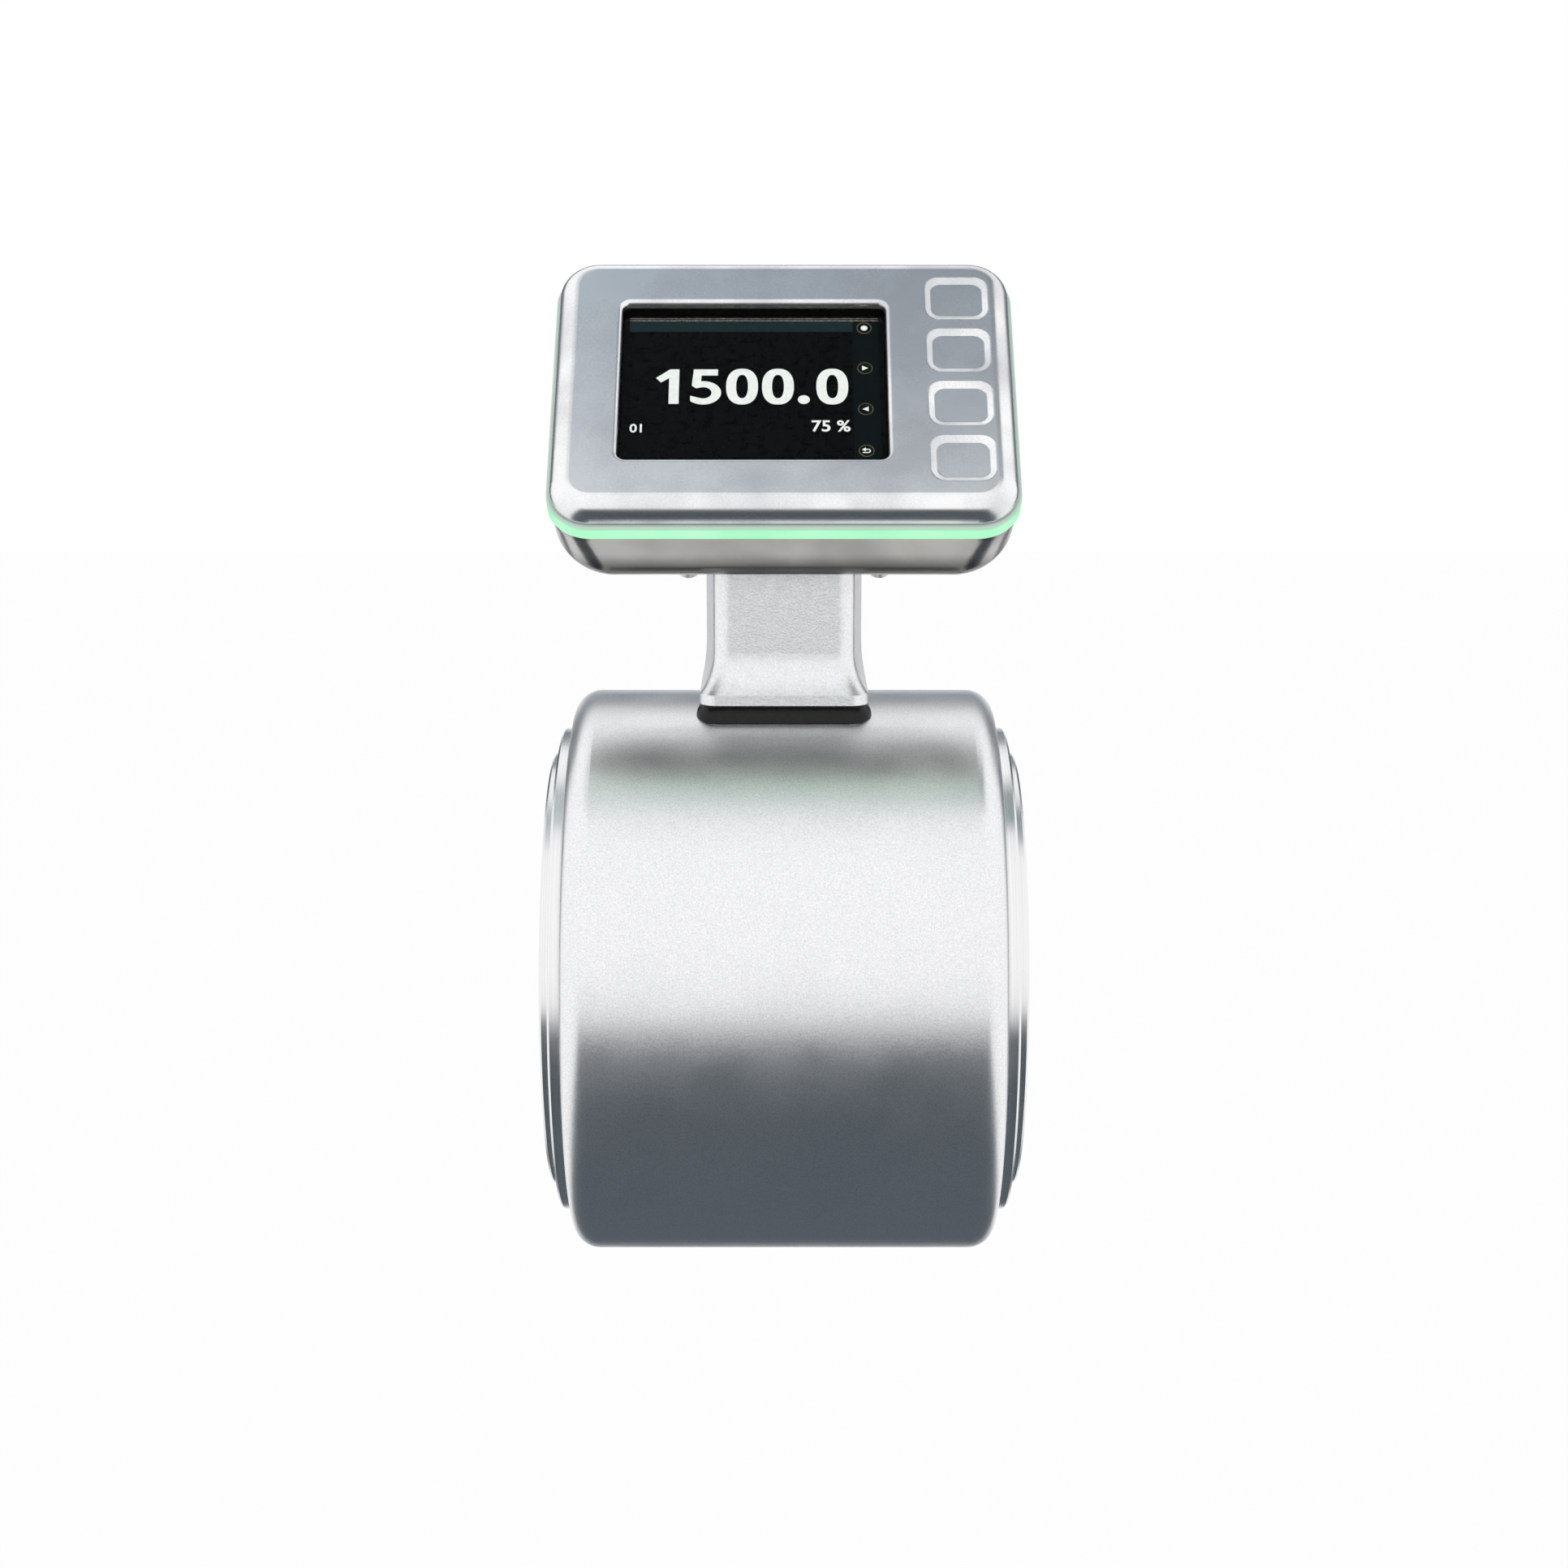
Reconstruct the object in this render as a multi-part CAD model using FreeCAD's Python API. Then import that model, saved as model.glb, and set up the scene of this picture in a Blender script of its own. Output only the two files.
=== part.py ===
import FreeCAD, Part
import math
import os

# Electromagnetic flow meter: a round steel sensor body, a cast neck and a tilted display head.
# Millimetres. The origin is the centre of the measuring tube, X runs along the tube, the head
# faces -Y and +Z points up through the neck. The head is drawn lying flat, with its face at
# height 0 and its back below, and is then tilted and lifted onto the neck.

Vector = FreeCAD.Vector
AXIS_X, AXIS_Y, AXIS_Z = Vector(1, 0, 0), Vector(0, 1, 0), Vector(0, 0, 1)

# Measuring tube and liner
bore_radius = 33.0
liner_wall = 2.5
tube_wall = 2.5
liner_lip_width = 6.0
liner_lip_depth = 1.3

# Sensor housing, a drawn drum with a flat pad for the neck, sunk a little below its crown
drum_radius = 67.5
drum_half_length = 50.0
drum_wall = 2.5
drum_edge_radius = 6.0
pad_sink = 1.5
pad_side_margin = 0.25
pad_front_margin = 0.9
pad_blend_radius = 2.6
pad_blend_steps = 4

# End rings, turned with two steps that take the pipe adapters. Their steps are measured inwards,
# the flange from the drum's wall, the spigot and the nose from the flange.
ring_flange_step = 9.2
ring_flange_width = 3.0
ring_nose_step = 6.0
ring_nose_width = 2.3
ring_spigot_step = 2.0
ring_spigot_length = 5.5
ring_chamfer = 0.5
ring_groove_width = 0.5
ring_groove_depth = 0.5
adapter_hole_count = 6
adapter_circle_step = 4.3
adapter_hole_radius = 2.5
adapter_hole_depth = 9.0
seal_cord_radius = 1.1
seal_gap_to_lip = 0.7
seal_proud = 0.3

# Magnet system round the tube; its lengths are measured from the drum's ends, and the pad's
# underside lies a gap above the yoke
coil_gap = 2.0
coil_thickness = 8.0
coil_end_step = 20.0
coil_half_width = 34.0
coil_window_half_length = 14.0
coil_window_half_width = 16.0
coil_corner = 10.0
core_clearance = 0.4
yoke_gap = 4.0
yoke_thickness = 2.0
yoke_end_step = 26.0
yoke_pad_gap = 3.0

# Electrodes and temperature probe, set level with the bore
electrode_recess = 0.05
electrode_head_radius = 4.0
electrode_head_thickness = 1.4
electrode_stem_radius = 1.5
electrode_stem_length = 9.5
bush_radius = 3.2
bush_collar_radius = 6.0
bush_collar_height = 3.5
electrode_nut_radius = 3.2
electrode_nut_height = 2.4
side_sensor_end_step = 16.0
fit_gap = 0.05

# Neck: gasket, casting and its screws
gasket_thickness = 2.0
neck_base_half_width = 19.65
neck_base_half_depth = 20.0
neck_base_corner = 4.5
neck_lip_height = 2.4
neck_flare_height = 9.6
neck_flare_power = 2.2
neck_flare_steps = 5
neck_front_half_width = 16.1
neck_rear_half_width = 19.15
neck_half_depth = 17.0
neck_corner = 4.5
neck_wall = 3.0
neck_floor = 5.0
neck_cable_hole_radius = 6.5
neck_screw_x = 9.5
neck_screw_y = 10.0
neck_screw_radius = 2.0
neck_screw_tip_gap = 2.0
neck_screw_head_radius = 3.5
neck_screw_head_height = 4.0
screw_bevel = 0.4
gland_collar_radius = 8.0
gland_collar_height = 2.0

# Plug connector in the back of the neck, its flange just above the flared foot
connector_flare_gap = 2.5
connector_thread_radius = 6.0
connector_thread_length = 8.5
connector_thread_chamfer = 0.6
connector_body_radius = 7.9
connector_body_length = 7.5
connector_flange_radius = 9.5
connector_flange_width = 2.5
connector_socket_radius = 4.4
connector_socket_depth = 8.0
connector_seal_thickness = 0.8
connector_pin_radius = 0.5
connector_pin_circle = 2.5
connector_pin_length = 6.0
connector_pin_count = 4

# Display head: place of the middle of its face, with its rise above the pad, and the tilt of
# the face back from upright
head_face_y = -18.2
head_rise = 77.2
head_tilt = 45.0
head_half_width = 52.3
head_half_height = 38.0
head_depth = 29.4
sheet = 1.5

# Front shell, pressed from sheet with a rolled-in window edge and four key fields. The steps
# are measured inwards from the head's outline: top and side edges for the window, and the
# middles of the first and last key fields.
front_depth = 5.4
front_edge_radius = 4.6
front_corner = 9.2
window_left_step = 14.97
window_top_step = 14.6
window_key_gap = 9.23
window_corner = 2.0
window_lip_wall = 1.3
window_lip_depth = 2.0
window_roll_radius = 1.1
key_side_step = 12.3
key_top_step = 13.3
key_bottom_step = 14.55
key_count = 4
key_half_width = 7.3
key_gap = 3.15
key_corner = 3.2
key_depth = 0.7
key_slope = 1.35
key_upper_round = 0.9
key_lower_round = 0.6
key_wall_growth = 0.2
stud_radius = 1.25

# Light ring between the shells, with a thin seal on each side
ring_height = 4.1
ring_proud = 0.9
ring_corner_growth = 1.0
ring_band_width = 2.8
ring_tongue_width = 1.2
ring_tongue_reach = 1.3
ring_edge_radius = 0.5
shell_seal_thickness = 0.3
shell_seal_inset = 0.4
tongue_clearance = 0.2

# Rear shell, drawn from sheet
rear_corner = 18.0
rear_collar = 1.7
rear_edge_radius = 9.0

# Window, display and key board behind the front shell
seal_land = 1.9
pane_thickness = 1.6
pane_gap = 0.2
display_side_margin = 4.2
display_top_margin = 1.6
display_thickness = 3.0
display_corner = 1.0
frame_wall = 1.5
frame_clearance = 0.1
frame_corner = 1.5
key_board_margin = 0.5
key_board_end_step = 8.6
key_board_corner = 1.5
board_thickness = 1.6
board_corner = 2.0
key_sensor_radius = 4.4
key_sensor_height = 0.5

# Chassis, boards and lamps inside the head; steps are measured inwards from the chassis
# outline, and from the edge of the board that carries each boss
chassis_thickness = 2.0
chassis_clearance = 0.3
chassis_rest_width = 3.0
key_rest_width = 1.5
pillar_radius = 3.4
stud_side_step = 3.8
stud_top_step = 3.7
main_board_side_step = 8.1
main_board_top_step = 4.8
board_step = 4.0
power_board_side_step = 5.0
board_boss_side_step = 3.0
board_boss_top_step = 7.0
board_boss_radius = 2.6
board_screw_radius = 1.2
board_screw_head_radius = 2.2
board_screw_head_height = 1.6
lamp_board_width = 4.6
lamp_board_thickness = 1.0
lamp_pitch = 15.0
lamp_length = 2.0
lamp_width = 1.2
lamp_height = 0.7
stud_nut_radius = 2.5
stud_nut_height = 2.0

# Joint between the head and the neck
head_gasket_thickness = 0.8
flange_thickness = 4.6
flange_half_width = 25.5
flange_top_step = 9.2
flange_corner = 5.0
flange_edge_radius = 1.8
head_screw_edge_step = 3.3
head_screw_radius = 1.5
head_screw_head_radius = 2.75
head_screw_head_height = 3.0
head_screw_grip = 6.0
cable_port_half_width = 11.0
cable_port_half_height = 14.0
cable_port_corner = 3.0

# Cable from the sensor to the boards
cable_radius = 2.4
cable_bend_radius = 7.0
cable_port_offset = 5.0

# Board in the neck
neck_board_half_width = 12.0
neck_board_height = 28.0
neck_board_gap = 1.0

# Cutting tools reach this far past the piece they cut, and points this near each other in
# height count as level
overshoot = 1.0
level_tolerance = 1e-4

# Sizes of the sensor body that follow from the ones above
pad_height = drum_radius - pad_sink
ring_flange_radius = drum_radius - ring_flange_step
ring_spigot_radius = ring_flange_radius - ring_spigot_step
ring_nose_radius = ring_flange_radius - ring_nose_step
adapter_circle_radius = ring_nose_radius - adapter_circle_step
tube_inner = bore_radius + liner_wall
tube_outer = tube_inner + tube_wall
flange_face = drum_half_length + ring_flange_width
end_face = flange_face + ring_nose_width
lip_radius = tube_inner + liner_lip_width
tube_end = end_face - liner_lip_depth
seal_circle = lip_radius + seal_gap_to_lip + seal_cord_radius
coil_inner = tube_outer + coil_gap
coil_outer = coil_inner + coil_thickness
coil_half_length = drum_half_length - coil_end_step
yoke_inner = coil_outer + yoke_gap
yoke_outer = yoke_inner + yoke_thickness
yoke_half_length = drum_half_length - yoke_end_step
pad_underside = yoke_outer + yoke_pad_gap
side_sensor_offset = drum_half_length - side_sensor_end_step

# Heights in the neck, and places along the connector's axis
neck_bottom = pad_height + gasket_thickness
flare_top = neck_bottom + neck_lip_height + neck_flare_height
floor_top = neck_bottom + neck_floor
neck_screw_length = floor_top - pad_underside - neck_screw_tip_gap
gland_top = floor_top + gland_collar_height
connector_height = flare_top + connector_flare_gap + connector_flange_radius
connector_body_start = neck_half_depth - connector_body_length
connector_flange_start = neck_half_depth + connector_seal_thickness
connector_nose_start = connector_flange_start + connector_flange_width
connector_nose_end = connector_nose_start + connector_thread_length
connector_insert_end = connector_nose_end - connector_socket_depth
head_face_z = pad_height + head_rise

# Outlines seen from the head's front, from its own middle
key_x = head_half_width - key_side_step
key_first_y = head_half_height - key_top_step
key_last_y = key_bottom_step - head_half_height
key_pitch = (key_first_y - key_last_y) / (key_count - 1)
key_half_height = (key_pitch - key_gap) / 2
window_left = window_left_step - head_half_width
window_right = key_x - key_half_width - window_key_gap
window_x = (window_left + window_right) / 2
window_half_width = (window_right - window_left) / 2
window_half_height = head_half_height - window_top_step
display_half_width = window_half_width + display_side_margin
display_half_height = window_half_height + display_top_margin
key_board_half_width = key_half_width + key_board_margin
key_board_half_height = head_half_height - key_board_end_step
flange_half_height = head_half_height - flange_top_step
head_screw_x = flange_half_width - head_screw_edge_step
head_screw_y = flange_half_height - head_screw_edge_step

# Layers of the head, downwards from its face
front_rim = -front_depth
ring_top = front_rim - shell_seal_thickness
ring_bottom = ring_top - ring_height
rear_rim = ring_bottom - shell_seal_thickness
pane_top = -window_lip_depth
pane_bottom = pane_top - pane_thickness
display_top = pane_bottom - pane_gap
display_bottom = display_top - display_thickness
chassis_top = ring_top - ring_height / 2
chassis_bottom = chassis_top - chassis_thickness
main_board_top = chassis_bottom - board_step
main_board_bottom = main_board_top - board_thickness
power_board_top = main_board_bottom - board_step
power_board_bottom = power_board_top - board_thickness
back_inside = sheet - head_depth
flange_top = -head_depth - head_gasket_thickness
flange_bottom = flange_top - flange_thickness
lamp_board_bottom = chassis_bottom - lamp_board_thickness
stud_end = lamp_board_bottom - stud_nut_height
key_board_top = -sheet - key_depth - key_sensor_height - fit_gap
key_board_bottom = key_board_top - board_thickness

# Outlines of the ring's tongue, the chassis and the boards inside the head
tongue_half_width = head_half_width - sheet - tongue_clearance
tongue_half_height = head_half_height - sheet - tongue_clearance
tongue_corner = front_corner - sheet - tongue_clearance
inner_half_width = tongue_half_width - ring_tongue_width - chassis_clearance
inner_half_height = tongue_half_height - ring_tongue_width - chassis_clearance
inner_corner = tongue_corner - ring_tongue_width - chassis_clearance
stud_x = inner_half_width - stud_side_step
stud_y = inner_half_height - stud_top_step
main_board_half_width = inner_half_width - main_board_side_step
main_board_half_height = inner_half_height - main_board_top_step
power_board_half_width = main_board_half_width - power_board_side_step
board_boss_x = power_board_half_width - board_boss_side_step
board_boss_y = main_board_half_height - board_boss_top_step

FOUR_CORNERS = [(-1, -1), (1, -1), (1, 1), (-1, 1)]


# ---------------------------------------------------------------- building blocks

def rounded_outline(corners, radius, height):
    """Closed wire at one height through corner points, each corner rounded by a tangent arc."""
    points = [Vector(x, y, height) for x, y in corners]
    starts, middles, ends = [], [], []
    for i, corner in enumerate(points):
        before = (points[i - 1] - corner).normalize()
        after = (points[(i + 1) % len(points)] - corner).normalize()
        half_angle = before.getAngle(after) / 2
        reach = radius / math.tan(half_angle)
        bisector = (before + after).normalize()
        starts.append(corner + before * reach)
        middles.append(corner + bisector * (radius / math.sin(half_angle) - radius))
        ends.append(corner + after * reach)
    edges = []
    for i in range(len(points)):
        edges.append(Part.Arc(starts[i], middles[i], ends[i]).toShape())
        edges.append(Part.LineSegment(ends[i], starts[(i + 1) % len(points)]).toShape())
    return Part.Wire(edges)


def rectangle(half_width, half_height, radius, height, centre=(0, 0)):
    corners = [(centre[0] + sx * half_width, centre[1] + sy * half_height) for sx, sy in FOUR_CORNERS]
    return rounded_outline(corners, radius, height)


def plate(half_width, half_height, radius, low, high, centre=(0, 0)):
    """Flat block with rounded corners between two heights."""
    outline = rectangle(half_width, half_height, radius, low, centre)
    return Part.Face(outline).extrude(Vector(0, 0, high - low))


def frame(half_width, half_height, radius, wall, low, high, centre=(0, 0)):
    """Rounded rectangular ring whose wall lies inside the given outline."""
    outer = plate(half_width, half_height, radius, low, high, centre)
    inner_radius = max(radius - wall, fit_gap)
    inner = plate(half_width - wall, half_height - wall, inner_radius, low - overshoot,
                  high + overshoot, centre)
    return outer.cut(inner)


def rod(radius, low, high, x=0.0, y=0.0):
    """Round bar along Z."""
    return Part.makeCylinder(radius, high - low, Vector(x, y, low), AXIS_Z)


def rod_along(axis, radius, start, length):
    return Part.makeCylinder(radius, length, start, axis)


def turned(profile, axis=AXIS_X):
    """Solid of revolution from (distance along the axis, radius) pairs."""
    side = AXIS_Z if axis != AXIS_Z else AXIS_X
    points = [axis * along + side * radius for along, radius in profile]
    face = Part.Face(Part.makePolygon(points + points[:1]))
    return face.revolve(Vector(0, 0, 0), axis, 360)


def tube_along_x(inner, outer, half_length):
    whole = rod_along(AXIS_X, outer, Vector(-half_length, 0, 0), 2 * half_length)
    reach = half_length + overshoot
    return whole.cut(rod_along(AXIS_X, inner, Vector(-reach, 0, 0), 2 * reach))


def hex_prism(radius, low, high, x=0.0, y=0.0):
    """Six-sided bar along Z, with its flats at the given radius."""
    corner = radius / math.cos(math.pi / 6)
    angles = [math.pi / 3 * i for i in range(7)]
    points = [Vector(x + corner * math.cos(a), y + corner * math.sin(a), low) for a in angles]
    return Part.Face(Part.makePolygon(points)).extrude(Vector(0, 0, high - low))


def edges_at_height(shape, height):
    return [e for e in shape.Edges
            if all(abs(v.Z - height) < level_tolerance for v in e.Vertexes)
            and e.BoundBox.ZLength < level_tolerance]


def round_edges_at(shape, height, radius):
    return shape.makeFillet(radius, edges_at_height(shape, height))


def grid(half_x, half_y):
    return [(sx * half_x, sy * half_y) for sx, sy in FOUR_CORNERS]


def drills(radius, low, high, places):
    """Round cutters through everything between two heights, one at each place."""
    return group([rod(radius, low - overshoot, high + overshoot, x, y) for x, y in places])


def head_placement():
    return FreeCAD.Placement(Vector(0, head_face_y, head_face_z), FreeCAD.Rotation(AXIS_X, head_tilt))


def on_head(shape):
    """Tilt and lift a shape drawn with the head lying flat."""
    moved = shape.copy()
    moved.Placement = head_placement().multiply(moved.Placement)
    return moved


def group(solids):
    return Part.makeCompound(solids)


# ---------------------------------------------------------------- sensor body

def measuring_tube():
    shape = tube_along_x(tube_inner, tube_outer, tube_end)
    return shape.cut(group([side_hole(bush_radius, x, side) for x, side in SIDE_SENSORS]))


def liner():
    """Moulded lining with a lip over each end of the tube."""
    profile = [(-end_face, bore_radius), (-end_face, lip_radius), (-tube_end, lip_radius),
               (-tube_end, tube_inner), (tube_end, tube_inner), (tube_end, lip_radius),
               (end_face, lip_radius), (end_face, bore_radius)]
    shape = turned(profile)
    pockets = [side_pocket(x, side) for x, side in SIDE_SENSORS]
    stems = [side_hole(electrode_stem_radius + fit_gap, x, side) for x, side in SIDE_SENSORS]
    return shape.cut(group(pockets)).cut(group(stems))


def drum_profile(radius, half_length, edge_radius):
    """Half section of a drum with rounded ends, as a face above the X axis."""
    turn = edge_radius * (1 - math.sqrt(0.5))
    corners = []
    for side in (-1, 1):
        on_end = Vector(side * half_length, 0, radius - edge_radius)
        middle = Vector(side * (half_length - turn), 0, radius - turn)
        on_wall = Vector(side * (half_length - edge_radius), 0, radius)
        corners.append((on_end, middle, on_wall))
    left, right = corners
    foot_left, foot_right = Vector(-half_length, 0, 0), Vector(half_length, 0, 0)
    edges = [Part.LineSegment(foot_left, left[0]).toShape(), Part.Arc(*left).toShape(),
             Part.LineSegment(left[2], right[2]).toShape(), Part.Arc(*reversed(right)).toShape(),
             Part.LineSegment(right[0], foot_right).toShape(),
             Part.LineSegment(foot_right, foot_left).toShape()]
    return Part.Face(Part.Wire(edges))


def drum_solid(radius, half_length, edge_radius):
    return drum_profile(radius, half_length, edge_radius).revolve(Vector(0, 0, 0), AXIS_X, 360)


def pad_outline(growth, height):
    """The pad's outline, a margin wider than the neck, grown outwards at lower heights."""
    return rectangle(neck_base_half_width + pad_side_margin + growth,
                     neck_base_half_depth + pad_front_margin + growth,
                     neck_base_corner + pad_side_margin + growth, height)


def pad_column(low, high):
    return Part.Face(pad_outline(0, low)).extrude(Vector(0, 0, high - low))


def pad_skirt():
    """Concave foot that blends the pad's upright sides into the drum."""
    drum_slope = math.asin((neck_base_half_depth + pad_front_margin) / drum_radius)
    sections = []
    for i in range(pad_blend_steps + 1):
        turn = (math.pi / 2 - drum_slope) * i / pad_blend_steps
        growth = pad_blend_radius * (1 - math.cos(turn))
        sections.append(pad_outline(growth, pad_height - pad_blend_radius * math.sin(turn)))
    return Part.makeLoft(sections[::-1], True, False)


def sensor_housing():
    """Drum with rounded ends, open at both ends for the rings, and a pad on top for the neck."""
    outside = drum_solid(drum_radius, drum_half_length, drum_edge_radius)
    pad = pad_column(pad_underside, pad_height)
    above_pad = pad_column(pad_height, drum_radius + overshoot)
    shape = outside.fuse([pad, pad_skirt()]).cut(above_pad)
    inside = drum_solid(drum_radius - drum_wall, drum_half_length - drum_wall,
                        drum_edge_radius - drum_wall)
    reach = drum_half_length + overshoot
    ends = rod_along(AXIS_X, ring_spigot_radius, Vector(-reach, 0, 0), 2 * reach)
    shape = shape.cut(inside.cut(pad)).cut(ends.cut(pad))
    shape = shape.cut(drills(gland_collar_radius, pad_underside, pad_height, [(0, 0)]))
    return shape.cut(drills(neck_screw_radius + fit_gap, pad_underside, pad_height,
                            grid(neck_screw_x, neck_screw_y)))


def end_ring(side):
    """Stepped ring welded into one end of the drum, with tapped holes for an adapter."""
    inner_end = drum_half_length - ring_spigot_length
    c, w, d = ring_chamfer, ring_groove_width, ring_groove_depth
    profile = [(inner_end, tube_outer), (inner_end, ring_spigot_radius),
               (drum_half_length, ring_spigot_radius), (drum_half_length, ring_flange_radius - d),
               (drum_half_length + w, ring_flange_radius - d),
               (drum_half_length + w, ring_flange_radius),
               (flange_face - c, ring_flange_radius), (flange_face, ring_flange_radius - c),
               (flange_face, ring_nose_radius), (end_face - c, ring_nose_radius),
               (end_face, ring_nose_radius - c), (end_face, lip_radius), (tube_end, lip_radius),
               (tube_end, tube_outer)]
    mouth = end_face + overshoot
    floor = end_face + seal_proud - 2 * seal_cord_radius
    groove_inner, groove_outer = seal_circle - seal_cord_radius, seal_circle + seal_cord_radius
    groove = turned([(mouth, groove_inner), (floor, groove_inner), (floor, groove_outer),
                     (mouth, groove_outer)])
    holes = []
    for i in range(adapter_hole_count):
        angle = 2 * math.pi * (i + 0.5) / adapter_hole_count
        start = Vector(end_face - adapter_hole_depth, adapter_circle_radius * math.cos(angle),
                       adapter_circle_radius * math.sin(angle))
        holes.append(rod_along(AXIS_X, adapter_hole_radius, start, adapter_hole_depth + overshoot))
    return facing(turned(profile).cut(groove).cut(group(holes)), side)


def facing(shape, side):
    """The shape as drawn for the right end, or turned round for the left end."""
    if side > 0:
        return shape
    turned_round = shape.copy()
    turned_round.Placement = FreeCAD.Placement(Vector(0, 0, 0), FreeCAD.Rotation(AXIS_Z, 180))
    return turned_round


def face_seal(side):
    centre = Vector(end_face + seal_proud - seal_cord_radius, 0, 0)
    return facing(Part.makeTorus(seal_circle, seal_cord_radius, centre, AXIS_X), side)


def saddle(half_length, half_width, corner, inner, outer):
    """Block of a rectangular outline, curved to lie round the tube, on its upper side."""
    prism = plate(half_length, half_width, corner, 0, outer + overshoot)
    return tube_along_x(inner, outer, half_length + overshoot).common(prism)


def mirrored_down(shape, side):
    if side > 0:
        return shape
    lower = shape.copy()
    lower.Placement = FreeCAD.Placement(Vector(0, 0, 0), FreeCAD.Rotation(AXIS_X, 180))
    return lower


def coil(side):
    """Saddle coil: a flat winding bent round the tube."""
    whole = saddle(coil_half_length, coil_half_width, coil_corner, coil_inner, coil_outer)
    window = plate(coil_window_half_length, coil_window_half_width, coil_window_half_length / 2,
                   0, coil_outer + overshoot)
    return mirrored_down(whole.cut(window), side)


def pole_core(side):
    """Iron core in the coil's window, from the tube out to the yoke."""
    core = saddle(coil_window_half_length - core_clearance, coil_window_half_width - core_clearance,
                  coil_window_half_length / 2 - core_clearance, tube_outer, yoke_inner)
    return mirrored_down(core, side)


def return_yoke(side):
    """Half of the steel band that closes the magnet's path round the coils."""
    size = 2 * drum_radius
    upper_half = Part.makeBox(size, size, size, Vector(-size / 2, -size / 2, 0))
    band = tube_along_x(yoke_inner, yoke_outer, yoke_half_length)
    return mirrored_down(band.common(upper_half), side)


# Side sensors: place along the tube, and front (-1) or rear (1)
SIDE_SENSORS = [(0.0, -1), (0.0, 1), (side_sensor_offset, 1), (-side_sensor_offset, -1)]


def side_hole(radius, x, side):
    """Drill through the tube's wall, square to it."""
    start = Vector(x, side * (bore_radius - 2 * overshoot), 0)
    return rod_along(AXIS_Y * side, radius, start, tube_outer - bore_radius + 4 * overshoot)


def side_pocket(x, side):
    """Pocket in the lining for the head of an electrode."""
    start = Vector(x, side * (bore_radius - 2 * overshoot), 0)
    depth = 2 * overshoot + electrode_recess + electrode_head_thickness
    return rod_along(AXIS_Y * side, electrode_head_radius + fit_gap, start, depth)


def electrode(x, side):
    """Turned pin whose round head lies level with the bore."""
    tip = bore_radius + electrode_recess
    head = rod_along(AXIS_Y * side, electrode_head_radius, Vector(x, side * tip, 0),
                     electrode_head_thickness)
    stem_start = Vector(x, side * (tip + electrode_head_thickness), 0)
    stem = rod_along(AXIS_Y * side, electrode_stem_radius, stem_start, electrode_stem_length)
    return head.fuse(stem).removeSplitter()


def electrode_bushes():
    """Insulating bushes: a sleeve in the tube's wall and a collar that saddles the tube."""
    tube = rod_along(AXIS_X, tube_outer, Vector(-tube_end, 0, 0), 2 * tube_end)
    bushes = []
    for x, side in SIDE_SENSORS:
        sleeve = rod_along(AXIS_Y * side, bush_radius, Vector(x, side * tube_inner, 0), tube_wall)
        sleeve = sleeve.cut(rod_along(AXIS_X, tube_inner, Vector(-tube_end, 0, 0), 2 * tube_end))
        collar = rod_along(AXIS_Y * side, bush_collar_radius, Vector(x, side * tube_inner, 0),
                           tube_wall + bush_collar_height).cut(tube)
        hole = rod_along(AXIS_Y * side, electrode_stem_radius + fit_gap,
                         Vector(x, side * bore_radius, 0), tube_outer)
        bushes.append(sleeve.fuse(collar).cut(hole).removeSplitter())
    return group(bushes)


def electrode_nuts():
    nuts = []
    for x, side in SIDE_SENSORS:
        low = tube_outer + bush_collar_height
        high = low + electrode_nut_height
        nut = hex_prism(electrode_nut_radius, low, high)
        nut = nut.cut(drills(electrode_stem_radius + fit_gap, low, high, [(0, 0)]))
        turn = FreeCAD.Rotation(AXIS_Z, AXIS_Y * side)
        nut.Placement = FreeCAD.Placement(Vector(x, 0, 0), turn)
        nuts.append(nut)
    return group(nuts)


# ---------------------------------------------------------------- neck

def neck_section(height, inset=0.0):
    """Outline of the casting at a height: square at the base, narrower to the front above it."""
    rise = (height - neck_bottom - neck_lip_height) / neck_flare_height
    flare = (1 - min(max(rise, 0.0), 1.0)) ** neck_flare_power
    front = neck_front_half_width + flare * (neck_base_half_width - neck_front_half_width) - inset
    rear = neck_rear_half_width + flare * (neck_base_half_width - neck_rear_half_width) - inset
    depth = neck_half_depth + flare * (neck_base_half_depth - neck_half_depth) - inset
    radius = neck_corner + flare * (neck_base_corner - neck_corner)
    corners = [(-front, -depth), (front, -depth), (rear, depth), (-rear, depth)]
    return rounded_outline(corners, radius - inset, height)


def neck_column(top, inset, bottom):
    """Solid through the neck's outlines: upright lip, curved flare and straight column."""
    lip_top = neck_bottom + neck_lip_height
    heights = [lip_top + neck_flare_height * i / neck_flare_steps for i in range(neck_flare_steps + 1)]
    column = Part.makeLoft([neck_section(flare_top, inset), neck_section(top, inset)], True, True)
    if inset == 0.0:
        flare = Part.makeLoft([neck_section(z) for z in heights], True, False)
        lip = Part.Face(neck_section(bottom)).extrude(Vector(0, 0, lip_top - bottom))
        return column.fuse([flare, lip])
    foot = Part.Face(neck_section(flare_top, inset)).extrude(Vector(0, 0, bottom - flare_top))
    return column.fuse(foot)


def above_flange():
    """Everything on the head's side of the flange, to trim the neck with."""
    size = 4 * drum_radius
    return on_head(Part.makeBox(size, size, size, Vector(-size / 2, -size / 2, flange_top)))


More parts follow.
